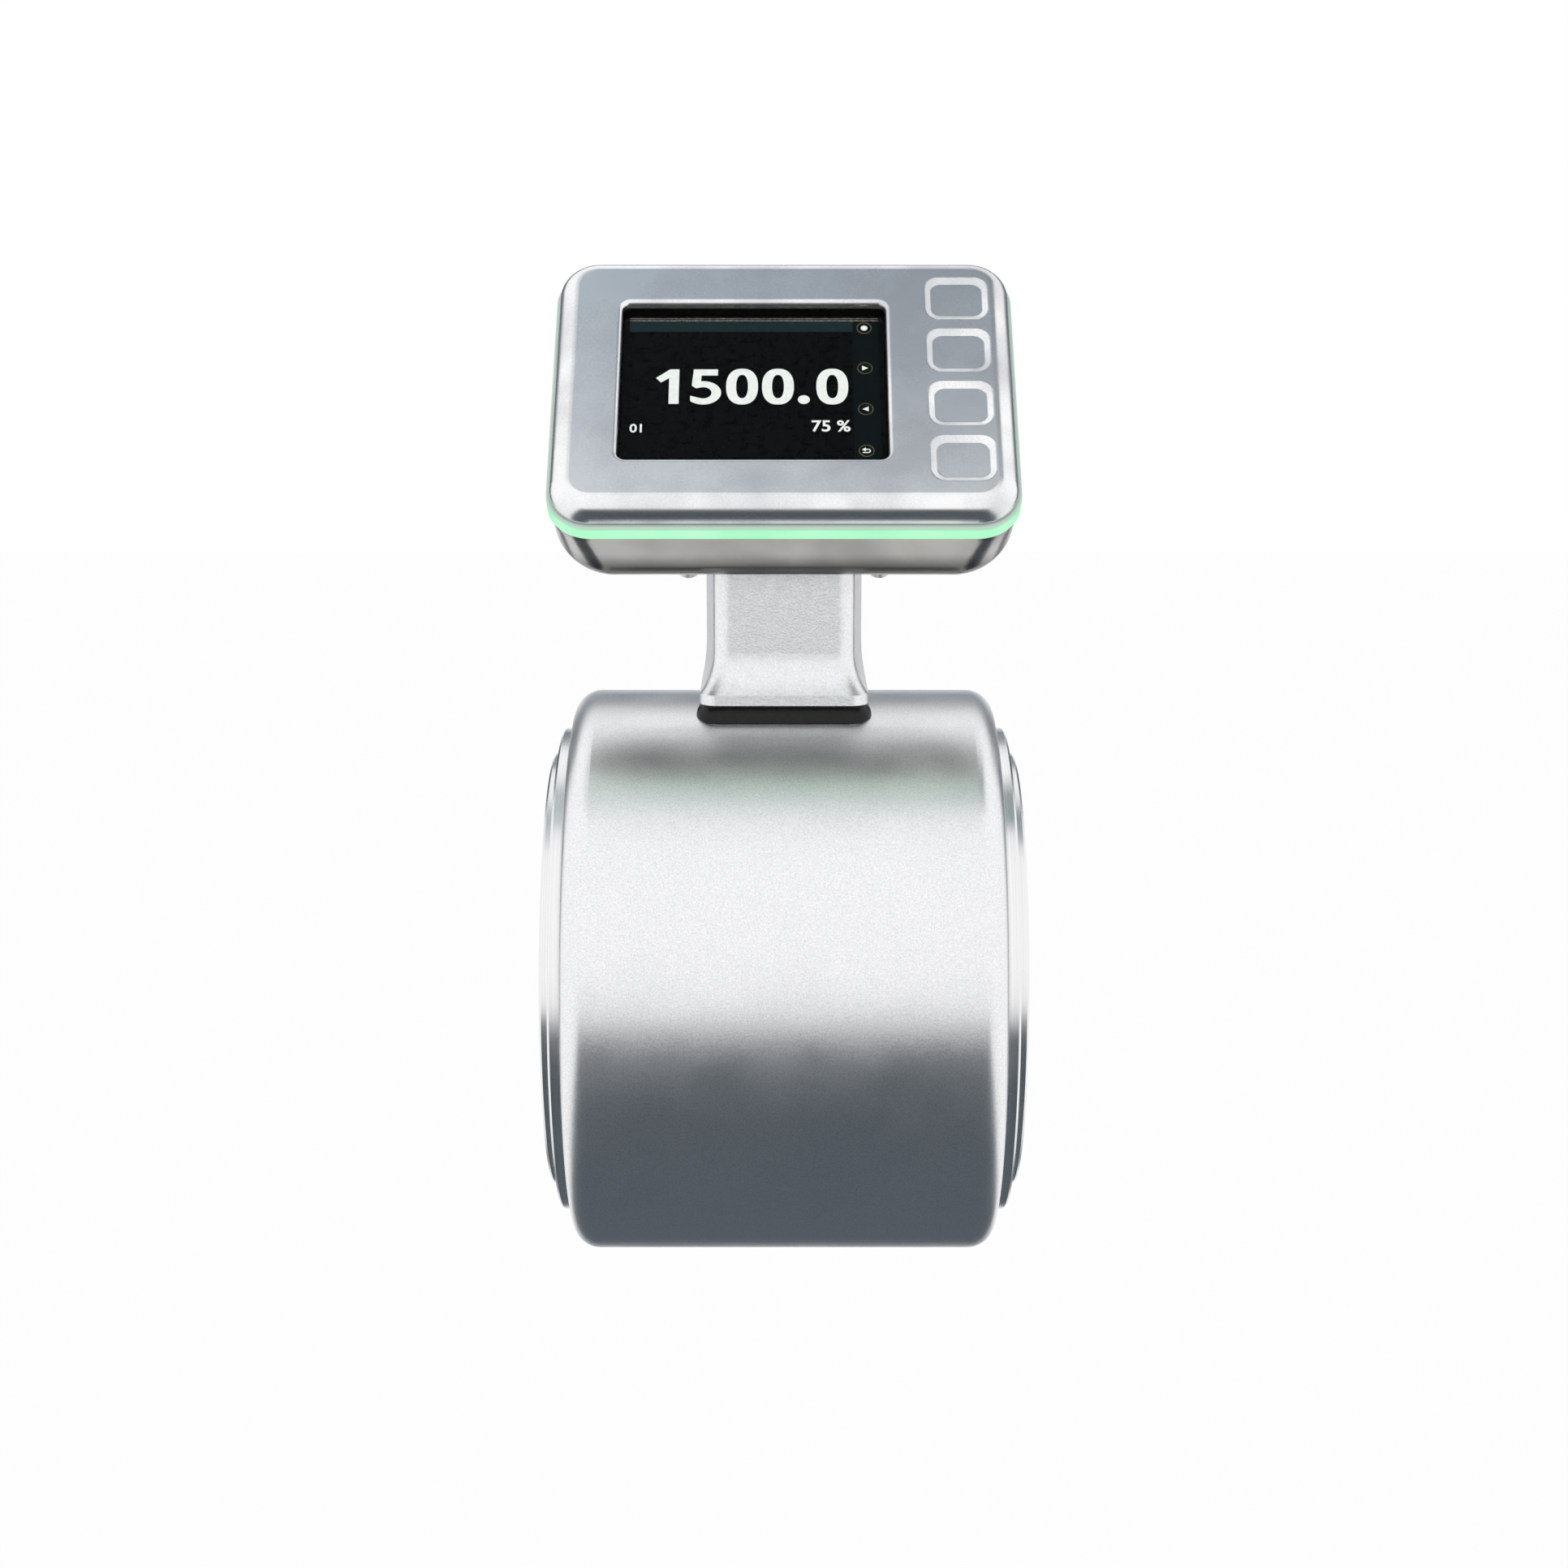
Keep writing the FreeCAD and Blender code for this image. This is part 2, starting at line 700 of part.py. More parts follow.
def neck_casting():
    """Hollow cast neck with a flared foot, a floor, and a flange square to the head's back."""
    top = head_face_z + head_half_height
    flange = plate(flange_half_width, flange_half_height, flange_corner, flange_bottom, flange_top)
    flange = round_edges_at(flange, flange_bottom, flange_edge_radius)
    shape = neck_column(top, 0.0, neck_bottom).fuse(on_head(flange)).cut(above_flange())
    shape = shape.cut(neck_column(top, neck_wall, floor_top))
    shape = shape.cut(drills(neck_cable_hole_radius, neck_bottom, floor_top, [(0, 0)]))
    shape = shape.cut(drills(neck_screw_radius + fit_gap, neck_bottom, floor_top,
                             grid(neck_screw_x, neck_screw_y)))
    shape = shape.cut(on_head(drills(head_screw_radius + fit_gap, flange_bottom, flange_top,
                                     grid(head_screw_x, head_screw_y))))
    plug_hole = rod_along(AXIS_Y, connector_body_radius + fit_gap, Vector(0, 0, connector_height),
                          neck_half_depth + overshoot)
    return shape.cut(plug_hole).removeSplitter()


def neck_gasket():
    shape = Part.Face(neck_section(neck_bottom)).extrude(Vector(0, 0, -gasket_thickness))
    shape = shape.cut(drills(gland_collar_radius, pad_height, neck_bottom, [(0, 0)]))
    return shape.cut(drills(neck_screw_radius + fit_gap, pad_height, neck_bottom,
                            grid(neck_screw_x, neck_screw_y)))


def cap_screw(shank, length, head, height, bevel):
    """Cap screw standing on its tip: shank, round bevelled head and a six-sided socket."""
    top = length + height
    profile = [(0, 0), (0, shank), (length, shank), (length, head), (top - bevel, head),
               (top, head - bevel), (top, 0)]
    screw = turned(profile, AXIS_Z)
    return screw.cut(hex_prism(head / 2, length + height / 2, top + overshoot))


def placed(shape, x, y, low):
    moved = shape.copy()
    moved.translate(Vector(x, y, low))
    return moved


def neck_screws():
    screw = cap_screw(neck_screw_radius, neck_screw_length, neck_screw_head_radius,
                      neck_screw_head_height, screw_bevel)
    return group([placed(screw, x, y, floor_top - neck_screw_length)
                  for x, y in grid(neck_screw_x, neck_screw_y)])


def cable_gland():
    """Plug in the pad, gripping the cable and reaching up through the neck's floor."""
    collar = rod(gland_collar_radius - fit_gap, pad_underside, neck_bottom)
    stem = rod(neck_cable_hole_radius - fit_gap, neck_bottom, gland_top)
    hole = drills(cable_radius, pad_underside, gland_top, [(0, 0)])
    return collar.fuse(stem).cut(hole).removeSplitter()


def cable_bend_height():
    """Height on the neck's axis where the cable turns towards the head."""
    slope = math.radians(head_tilt)
    return head_face_z + head_face_y * math.tan(slope) - cable_port_offset / math.cos(slope)


def sensor_cable():
    """Round cable up the neck, one bend, and square into the back of the power board."""
    slope = math.radians(head_tilt)
    bend = Vector(0, 0, cable_bend_height())
    into_head = Vector(0, -math.sin(slope), math.cos(slope))
    board_back = on_head(Part.Vertex(0, 0, power_board_bottom)).Point
    reach = (board_back - bend).dot(into_head)
    trim = cable_bend_radius * math.tan(slope / 2)
    start = Vector(0, 0, pad_underside)
    arc_start, arc_end = bend - AXIS_Z * trim, bend + into_head * trim
    inward = (into_head - AXIS_Z).normalize()
    middle = bend + inward * (cable_bend_radius / math.cos(slope / 2) - cable_bend_radius)
    path = Part.Wire([Part.LineSegment(start, arc_start).toShape(),
                      Part.Arc(arc_start, middle, arc_end).toShape(),
                      Part.LineSegment(arc_end, bend + into_head * reach).toShape()])
    section = Part.Wire(Part.Circle(start, AXIS_Z, cable_radius).toShape())
    return path.makePipeShell([section], True, False)


def neck_board():
    """Coil driver board standing on the gland, between the cable and the rear screws."""
    corner = Vector(-neck_board_half_width, cable_radius + neck_board_gap, gland_top)
    return Part.makeBox(2 * neck_board_half_width, board_thickness, neck_board_height, corner)


# ---------------------------------------------------------------- plug connector

def about_connector(shape):
    moved = shape.copy()
    moved.Placement = FreeCAD.Placement(Vector(0, 0, connector_height), FreeCAD.Rotation())
    return moved


def connector_shell():
    """Turned connector: body in the neck's wall, flange, and a threaded nose with a socket."""
    bevel = connector_thread_chamfer
    profile = [(connector_body_start, connector_socket_radius),
               (connector_body_start, connector_body_radius),
               (connector_flange_start, connector_body_radius),
               (connector_flange_start, connector_flange_radius),
               (connector_nose_start, connector_flange_radius),
               (connector_nose_start, connector_thread_radius),
               (connector_nose_end - bevel, connector_thread_radius),
               (connector_nose_end, connector_thread_radius - bevel),
               (connector_nose_end, connector_socket_radius)]
    return about_connector(turned(profile, AXIS_Y))


def pin_places():
    step = 2 * math.pi / connector_pin_count
    angles = [step * (i + 0.5) for i in range(connector_pin_count)]
    return [(connector_pin_circle * math.cos(a), connector_pin_circle * math.sin(a)) for a in angles]


def connector_pins():
    start = connector_body_start - overshoot
    length = connector_insert_end + connector_pin_length - start
    return group([rod_along(AXIS_Y, connector_pin_radius, Vector(x, start, connector_height + z), length)
                  for x, z in pin_places()])


def connector_insert():
    start = Vector(0, connector_body_start, connector_height)
    disc = rod_along(AXIS_Y, connector_socket_radius, start, connector_insert_end - connector_body_start)
    return disc.cut(connector_pins())


def connector_seal():
    start = Vector(0, neck_half_depth, connector_height)
    outer = rod_along(AXIS_Y, connector_flange_radius - fit_gap, start, connector_seal_thickness)
    return outer.cut(rod_along(AXIS_Y, connector_body_radius, start, connector_seal_thickness))


# ---------------------------------------------------------------- display head, drawn flat

board_bosses = grid(board_boss_x, board_boss_y)


def key_centres():
    return [(key_x, key_first_y - i * key_pitch) for i in range(key_count)]


def key_recess(centre, low, high, grow):
    """Tapered block the shape of a key field, wider at its upper end."""
    top = rectangle(key_half_width + grow, key_half_height + grow, key_corner + grow, high, centre)
    floor = rectangle(key_half_width - key_slope + grow, key_half_height - key_slope + grow,
                      key_corner - key_slope / 2 + grow, low, centre)
    return Part.makeLoft([floor, top], True, True)


def front_skin(inset):
    """Solid of the front shell's outside, or of its inside when inset by the sheet."""
    shape = plate(head_half_width - inset, head_half_height - inset, front_corner - inset,
                  front_rim - overshoot, -inset)
    return round_edges_at(shape, -inset, front_edge_radius - inset)


def edges_about(shape, height, centre, half_width, half_height):
    """Level edges at a height whose middles lie within a rectangle."""
    return [e for e in edges_at_height(shape, height)
            if abs(e.BoundBox.Center.x - centre[0]) < half_width
            and abs(e.BoundBox.Center.y - centre[1]) < half_height]


def front_shell():
    """Pressed steel front: rolled window edge, four sunk key fields and welded studs."""
    window = (window_x, 0)
    inside = front_skin(sheet)
    for centre in key_centres():
        inside = inside.cut(key_recess(centre, -sheet - key_depth, 0.0, key_wall_growth))
    lip = frame(window_half_width + window_lip_wall, window_half_height + window_lip_wall,
                window_corner + window_lip_wall, window_lip_wall, -window_lip_depth, -sheet / 2, window)
    below_rim = plate(2 * head_half_width, 2 * head_half_height, front_corner,
                      front_rim - 2 * overshoot, front_rim)
    shape = front_skin(0.0).cut(inside).cut(below_rim).fuse(lip)
    opening = plate(window_half_width, window_half_height, window_corner, -head_depth, overshoot, window)
    shape = shape.cut(opening).removeSplitter()
    rim = edges_about(shape, 0.0, window, window_half_width + fit_gap, window_half_height + fit_gap)
    shape = shape.makeFillet(window_roll_radius, rim)
    for centre in key_centres():
        shape = shape.cut(key_recess(centre, -key_depth, 0.0, 0.0))
        for height, radius in ((0.0, key_upper_round), (-key_depth, key_lower_round)):
            edges = edges_about(shape, height, centre, key_half_width + fit_gap,
                                key_half_height + fit_gap)
            shape = shape.makeFillet(radius, edges)
    studs = [rod(stud_radius, stud_end, -sheet / 2, x, y) for x, y in grid(stud_x, stud_y)]
    return shape.fuse(studs)


def shell_seal(low):
    """Thin seal between a shell's rim and the light ring, set back from the outside."""
    wall = sheet - shell_seal_inset
    return frame(head_half_width - shell_seal_inset, head_half_height - shell_seal_inset,
                 front_corner - shell_seal_inset, wall, low, low + shell_seal_thickness)


def light_ring():
    """Clear moulded band with a thin tongue that reaches into both shells."""
    band = plate(head_half_width + ring_proud, head_half_height + ring_proud,
                 front_corner + ring_corner_growth, ring_bottom, ring_top)
    band = round_edges_at(band, ring_top, ring_edge_radius)
    band = round_edges_at(band, ring_bottom, ring_edge_radius)
    band = band.cut(plate(head_half_width + ring_proud - ring_band_width,
                          head_half_height + ring_proud - ring_band_width,
                          front_corner + ring_corner_growth - ring_band_width,
                          ring_bottom - overshoot, ring_top + overshoot))
    tongue = frame(tongue_half_width, tongue_half_height, tongue_corner, ring_tongue_width,
                   rear_rim - ring_tongue_reach, front_rim + ring_tongue_reach)
    return band.fuse(tongue).removeSplitter()


def rear_skin(inset):
    """Solid of the rear shell's outside or inside: the corners open out towards the back."""
    half_width, half_height = head_half_width - inset, head_half_height - inset
    back = inset - head_depth
    upper = rectangle(half_width, half_height, front_corner - inset, rear_rim - rear_collar)
    lower = rectangle(half_width, half_height, rear_corner - inset, back)
    shape = Part.makeLoft([lower, upper], True, True)
    shape = round_edges_at(shape, back, rear_edge_radius - inset)
    collar = Part.Face(upper).extrude(AXIS_Z * (rear_collar + overshoot))
    return shape.fuse(collar)


def cable_port(low, high):
    return plate(cable_port_half_width, cable_port_half_height, cable_port_corner, low - overshoot,
                 high + overshoot, (0, -cable_port_offset))


def rear_shell():
    """Drawn steel back with a port for the cable and four holes for the neck's screws."""
    above_rim = plate(2 * head_half_width, 2 * head_half_height, front_corner, rear_rim,
                      rear_rim + 2 * overshoot)
    shape = rear_skin(0.0).cut(rear_skin(sheet)).cut(above_rim).cut(cable_port(-head_depth, back_inside))
    return shape.cut(drills(head_screw_radius + fit_gap, -head_depth, back_inside,
                            grid(head_screw_x, head_screw_y)))


def window_seal():
    return frame(window_half_width + window_lip_wall + seal_land,
                 window_half_height + window_lip_wall + seal_land,
                 window_corner + window_lip_wall + seal_land, seal_land, pane_top, -sheet, (window_x, 0))


def window_pane():
    return plate(window_half_width + window_lip_wall + seal_land,
                 window_half_height + window_lip_wall + seal_land,
                 window_corner + window_lip_wall + seal_land, pane_bottom, pane_top, (window_x, 0))


def display_module():
    return plate(display_half_width, display_half_height, display_corner, display_bottom, display_top,
                 (window_x, 0))


def display_frame():
    """Black carrier round the display, from the pane down to the chassis."""
    return frame(display_half_width + frame_clearance + frame_wall,
                 display_half_height + frame_clearance + frame_wall, frame_corner, frame_wall,
                 chassis_top, pane_bottom, (window_x, 0))


def key_board():
    """Board with one round sensor coil under each key field."""
    board = plate(key_board_half_width, key_board_half_height, key_board_corner, key_board_bottom,
                  key_board_top, (key_x, 0))
    coils = [rod(key_sensor_radius, key_board_top, key_board_top + key_sensor_height, x, y)
             for x, y in key_centres()]
    return board.fuse(coils)


def head_chassis():
    """Cast frame that carries the display and boards, with four pillars to the rear shell."""
    shape = plate(inner_half_width, inner_half_height, inner_corner, chassis_bottom, chassis_top)
    rest = frame(display_half_width, display_half_height, display_corner, chassis_rest_width,
                 chassis_top, display_bottom, (window_x, 0))
    key_rest = frame(key_board_half_width - fit_gap, key_board_half_height, key_board_corner,
                     key_rest_width, chassis_top, key_board_bottom, (key_x, 0))
    pillars = [rod(pillar_radius, back_inside, chassis_bottom, x, y)
               for x, y in grid(head_screw_x, head_screw_y)]
    bosses = [rod(board_boss_radius, main_board_top, chassis_bottom, x, y) for x, y in board_bosses]
    shape = shape.fuse([rest, key_rest] + pillars + bosses)
    shape = shape.cut(drills(stud_radius + fit_gap, chassis_bottom, chassis_top, grid(stud_x, stud_y)))
    shape = shape.cut(drills(head_screw_radius + fit_gap, back_inside, back_inside + head_screw_grip,
                             grid(head_screw_x, head_screw_y)))
    return shape.cut(drills(board_screw_radius + fit_gap, main_board_top,
                            chassis_bottom - overshoot, board_bosses))


def stud_nuts():
    nuts = []
    for x, y in grid(stud_x, stud_y):
        nut = hex_prism(stud_nut_radius, stud_end, lamp_board_bottom, x, y)
        nuts.append(nut.cut(drills(stud_radius + fit_gap, stud_end, lamp_board_bottom, [(x, y)])))
    return group(nuts)


def lamp_board():
    shape = frame(inner_half_width, inner_half_height, inner_corner, lamp_board_width,
                  lamp_board_bottom, chassis_bottom)
    return shape.cut(drills(stud_radius + fit_gap, lamp_board_bottom, chassis_bottom,
                            grid(stud_x, stud_y)))


def spread(half_span, pitch):
    """Evenly spaced places inside a span, symmetrical about its middle."""
    count = int(2 * half_span // pitch)
    return [(i - (count - 1) / 2) * pitch for i in range(count)]


def ring_lamps():
    """Small lamps on the lamp board, pointing outwards into the light ring."""
    low = lamp_board_bottom - lamp_height
    lamps = []
    for side in (-1, 1):
        edge_y = side * inner_half_height - (lamp_width if side > 0 else 0)
        for x in spread(inner_half_width - inner_corner, lamp_pitch):
            lamps.append(Part.makeBox(lamp_length, lamp_width, lamp_height,
                                      Vector(x - lamp_length / 2, edge_y, low)))
        edge_x = side * inner_half_width - (lamp_width if side > 0 else 0)
        for y in spread(inner_half_height - inner_corner, lamp_pitch):
            lamps.append(Part.makeBox(lamp_width, lamp_length, lamp_height,
                                      Vector(edge_x, y - lamp_length / 2, low)))
    return group(lamps)


def stacked_board(half_width, low, high):
    """Circuit board cleared for the chassis pillars and drilled for the board screws."""
    shape = plate(half_width, main_board_half_height, board_corner, low, high)
    shape = shape.cut(drills(pillar_radius + core_clearance, low, high, grid(head_screw_x, head_screw_y)))
    return shape.cut(drills(board_screw_radius + fit_gap, low, high, board_bosses))


def board_spacers():
    return group([rod(board_boss_radius, power_board_top, main_board_bottom, x, y).cut(
        drills(board_screw_radius + fit_gap, power_board_top, main_board_bottom, [(x, y)]))
        for x, y in board_bosses])


def board_screws():
    screws = []
    for x, y in board_bosses:
        shank = rod(board_screw_radius, power_board_bottom, chassis_bottom - overshoot, x, y)
        cap = rod(board_screw_head_radius, power_board_bottom - board_screw_head_height,
                  power_board_bottom, x, y)
        screws.append(shank.fuse(cap))
    return group(screws)


def head_gasket():
    shape = plate(flange_half_width, flange_half_height, flange_corner, flange_top, -head_depth)
    shape = shape.cut(cable_port(flange_top, -head_depth))
    return shape.cut(drills(head_screw_radius + fit_gap, flange_top, -head_depth,
                            grid(head_screw_x, head_screw_y)))


def head_screws():
    """Four cap screws through the flange, gasket and rear shell into the chassis pillars."""
    length = back_inside + head_screw_grip - flange_bottom
    screw = cap_screw(head_screw_radius, length, head_screw_head_radius, head_screw_head_height,
                      screw_bevel)
    upside_down = screw.rotated(Vector(0, 0, 0), AXIS_X, 180)
    return group([placed(upside_down, x, y, back_inside + head_screw_grip)
                  for x, y in grid(head_screw_x, head_screw_y)])


# ---------------------------------------------------------------- all pieces

def body_pieces():
    return {
        "sensor_housing": sensor_housing(),
        "end_ring_left": end_ring(-1),
        "end_ring_right": end_ring(1),
        "measuring_tube": measuring_tube(),
        "liner": liner(),
        "face_seal_left": face_seal(-1),
        "face_seal_right": face_seal(1),
        "coil_upper": coil(1),
        "coil_lower": coil(-1),
        "pole_core_upper": pole_core(1),
        "pole_core_lower": pole_core(-1),
        "return_yoke_upper": return_yoke(1),
        "return_yoke_lower": return_yoke(-1),
        "electrode_front": electrode(*SIDE_SENSORS[0]),
        "electrode_rear": electrode(*SIDE_SENSORS[1]),
        "reference_electrode": electrode(*SIDE_SENSORS[2]),
        "temperature_probe": electrode(*SIDE_SENSORS[3]),
        "electrode_bushes": electrode_bushes(),
        "electrode_nuts": electrode_nuts(),
    }


def neck_pieces():
    return {
        "neck_gasket": neck_gasket(),
        "neck_casting": neck_casting(),
        "neck_screws": neck_screws(),
        "cable_gland": cable_gland(),
        "sensor_cable": sensor_cable(),
        "neck_board": neck_board(),
        "connector_shell": connector_shell(),
        "connector_insert": connector_insert(),
        "connector_pins": connector_pins(),
        "connector_seal": connector_seal(),
    }


def head_pieces():
    return {
        "front_shell": front_shell(),
        "front_shell_seal": shell_seal(ring_top),
        "light_ring": light_ring(),
        "rear_shell_seal": shell_seal(rear_rim),
        "rear_shell": rear_shell(),
        "window_seal": window_seal(),
        "window_pane": window_pane(),
        "display_module": display_module(),
        "display_frame": display_frame(),
        "key_board": key_board(),
        "head_chassis": head_chassis(),
        "stud_nuts": stud_nuts(),
        "lamp_board": lamp_board(),
        "ring_lamps": ring_lamps(),
        "main_board": stacked_board(main_board_half_width, main_board_bottom, main_board_top),
        "power_board": stacked_board(power_board_half_width, power_board_bottom, power_board_top),
        "board_spacers": board_spacers(),
        "board_screws": board_screws(),
        "head_gasket": head_gasket(),
        "head_screws": head_screws(),
    }


def save(name, shape):
    shape.exportStep(os.path.join("parts", name + ".step"))


os.makedirs("parts", exist_ok=True)
for name, shape in {**body_pieces(), **neck_pieces()}.items():
    save(name, shape)
for name, shape in head_pieces().items():
    save(name, on_head(shape))
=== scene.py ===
# %% [markdown]
# Electromagnetic flow meter: dressing a finished steel instrument.
#
# The construction arrives as a fixed frame: every casting, shell, ring and screw is already at
# its real size and place. This lesson only gives the pieces their finishes, adds the small
# things that are finer than the construction holds, and lights the whole like a product picture.
# The frame could be rebuilt by hand in Blender, but then every piece could drift out of place.

# %% Load the fixed frame
import math

import bmesh
import bpy
from mathutils import Matrix, Vector


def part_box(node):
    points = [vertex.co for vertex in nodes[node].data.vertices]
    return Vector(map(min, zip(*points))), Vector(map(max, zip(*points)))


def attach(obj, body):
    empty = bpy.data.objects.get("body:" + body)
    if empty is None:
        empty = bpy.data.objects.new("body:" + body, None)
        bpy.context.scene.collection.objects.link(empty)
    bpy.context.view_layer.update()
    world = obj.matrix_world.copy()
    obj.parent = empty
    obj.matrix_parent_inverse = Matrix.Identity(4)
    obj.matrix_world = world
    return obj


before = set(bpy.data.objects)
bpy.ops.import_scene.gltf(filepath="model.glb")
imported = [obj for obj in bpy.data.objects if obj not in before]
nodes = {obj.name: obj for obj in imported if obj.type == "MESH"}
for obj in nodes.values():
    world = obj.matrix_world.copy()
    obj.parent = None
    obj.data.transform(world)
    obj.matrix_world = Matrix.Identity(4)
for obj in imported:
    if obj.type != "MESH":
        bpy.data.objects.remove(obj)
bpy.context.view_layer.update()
MM = 0.001
print("pieces in the frame:", len(nodes))

# %% [markdown]
# The pieces hang together along two directions: the pipe axis (X) of the sensor body, and the
# tilted face of the display head. Most added detail lies on one of the two, so the places it hangs
# on are worked out once: the middle of the display and the radius of the drum from the boxes of
# the pieces, the tilt of the face from a fixed angle. Measuring the frame is safer than repeating
# numbers, because the detail follows when the construction changes.

# %% Measure the places that the detail hangs on
HEAD_TILT = math.radians(45)
DISPLAY_THICKNESS = 3.0 * MM


def middle(node):
    low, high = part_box(node)
    return (low + high) / 2


face_up = Vector((0, math.cos(HEAD_TILT), math.sin(HEAD_TILT)))
face_out = Vector((0, -math.sin(HEAD_TILT), math.cos(HEAD_TILT)))
glass_middle = middle("display_module") + face_out * DISPLAY_THICKNESS / 2
on_display = Matrix.Translation(glass_middle) @ Matrix.Rotation(HEAD_TILT, 4, "X")
drum_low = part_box("sensor_housing")[0]
drum_radius = -drum_low.z
print("display middle:", [round(v, 4) for v in glass_middle], "drum radius:", round(drum_radius, 4))

# %% [markdown]
# The camera stands in front of the meter, a little above the head, and looks slightly down, so
# that the tilted face, the neck and the top of the drum all show. A long lens keeps the
# verticals nearly parallel. A wider lens closer by would swell the head over the drum.

# %% Place the camera
CAMERA_BACK = 650.9 * MM
CAMERA_HEIGHT = 177.9 * MM
CAMERA_DIP = math.radians(11.5)
CAMERA_LENS = 63.35

camera_data = bpy.data.cameras.new("camera")
camera_data.lens = CAMERA_LENS
camera_data.sensor_width = 36
camera_data.clip_start = 10 * MM
camera = bpy.data.objects.new("camera", camera_data)
camera.location = (0, -CAMERA_BACK, CAMERA_HEIGHT)
camera.rotation_euler = (math.radians(90) - CAMERA_DIP, 0, 0)
bpy.context.scene.collection.objects.link(camera)
bpy.context.scene.camera = camera
bpy.context.scene.view_settings.view_transform = "Standard"
print("camera lens:", camera_data.lens, "mm")

# %% [markdown]
# Metal has no colour of its own to speak of: it shows what stands round it. A white room alone
# would turn the steel into paper, so the set has a white world and a few dark cards. Each card
# is a plain sheet that only reflections can see. Painting bright and dark bands into the metal
# itself would look right from one side only, and cards work from everywhere.

# %% Build the white world


def link(tree, start, output, end, socket):
    tree.links.new(start.outputs[output], end.inputs[socket])


def seen_directly(tree):
    """A node that is 1 for camera, mirror and see-through rays, and 0 for soft light."""
    path = tree.nodes.new("ShaderNodeLightPath")
    first = tree.nodes.new("ShaderNodeMath")
    second = tree.nodes.new("ShaderNodeMath")
    first.operation = second.operation = "MAXIMUM"
    link(tree, path, "Is Camera Ray", first, 0)
    link(tree, path, "Is Glossy Ray", first, 1)
    link(tree, first, 0, second, 0)
    link(tree, path, "Is Transmission Ray", second, 1)
    return second


SOFT_LIGHT = 0.72

world = bpy.data.worlds.new("white_room")
world.use_nodes = True
world.cycles.sampling_method = "NONE"
bpy.context.scene.world = world
room = world.node_tree
room.nodes.clear()
sky_for_light = room.nodes.new("ShaderNodeBackground")
sky_for_light.inputs["Strength"].default_value = SOFT_LIGHT
sky_to_see = room.nodes.new("ShaderNodeBackground")
room_mix = room.nodes.new("ShaderNodeMixShader")
room_out = room.nodes.new("ShaderNodeOutputWorld")
for sky in (sky_for_light, sky_to_see):
    sky.inputs["Color"].default_value = (1, 1, 1, 1)
link(room, seen_directly(room), 0, room_mix, 0)
link(room, sky_for_light, 0, room_mix, 1)
link(room, sky_to_see, 0, room_mix, 2)
link(room, room_mix, 0, room_out, 0)
print("world light:", SOFT_LIGHT)

# %% [markdown]
# The meter hangs in its pipe line, so the floor lies well below it. The floor is pale and lit
# like everything else, mixed with a plain white glow for the eye, so that it meets the white
# world without a line and keeps only a trace of shadow.

# %% Lay the floor
FLOOR_DROP = 0.30
FLOOR_HALF = 4.0
FLOOR_GLOW = 0.96
FLOOR_WHITE = 0.96


def sheet_object(name, corners):
    mesh = bpy.data.meshes.new(name)
    mesh.from_pydata([tuple(c) for c in corners], [], [tuple(range(len(corners)))])
    piece = bpy.data.objects.new(name, mesh)
    bpy.context.scene.collection.objects.link(piece)
    return piece


floor_height = drum_low.z - FLOOR_DROP
floor_corners = [(x * FLOOR_HALF, y * FLOOR_HALF, floor_height)
                 for x, y in ((-1, -1), (1, -1), (1, 1), (-1, 1))]
floor = sheet_object("floor", floor_corners)
floor_paint = bpy.data.materials.new("floor_paint")
floor_paint.use_nodes = True
paint = floor_paint.node_tree
paint.nodes.clear()
matt = paint.nodes.new("ShaderNodeBsdfDiffuse")
matt.inputs["Color"].default_value = (FLOOR_WHITE, FLOOR_WHITE, FLOOR_WHITE, 1)
glow = paint.nodes.new("ShaderNodeEmission")
share = paint.nodes.new("ShaderNodeMath")
share.operation = "MULTIPLY"
share.inputs[1].default_value = FLOOR_GLOW
paint_mix = paint.nodes.new("ShaderNodeMixShader")
paint_out = paint.nodes.new("ShaderNodeOutputMaterial")
link(paint, seen_directly(paint), 0, share, 0)
link(paint, share, 0, paint_mix, 0)
link(paint, matt, 0, paint_mix, 1)
link(paint, glow, 0, paint_mix, 2)
link(paint, paint_mix, 0, paint_out, 0)
floor.data.materials.append(floor_paint)
print("floor height:", round(floor_height, 3))

# %% [markdown]
# Cards shape the steel. The low one lies before and under the meter and darkens the lower half
# of the drum, and its front edge fades out into the white. The high one hangs above the head,
# for the tilted face to mirror, and its left side fades out, so that the face shows a slow
# change from light to dark. One card stands behind the meter and draws the upper edges, and two
# narrow ones behind the left and the right draw the dark lines where a round edge turns away.
# Between the low and the high card the wide white gap is left that makes the pale band across
# the drum. All of them stand clear of the meter, like the stands and flags of a studio.

# %% Paint for the cards
CARD_TINT = (0.78, 0.93, 1.08)
NO_FADE = 1e-4


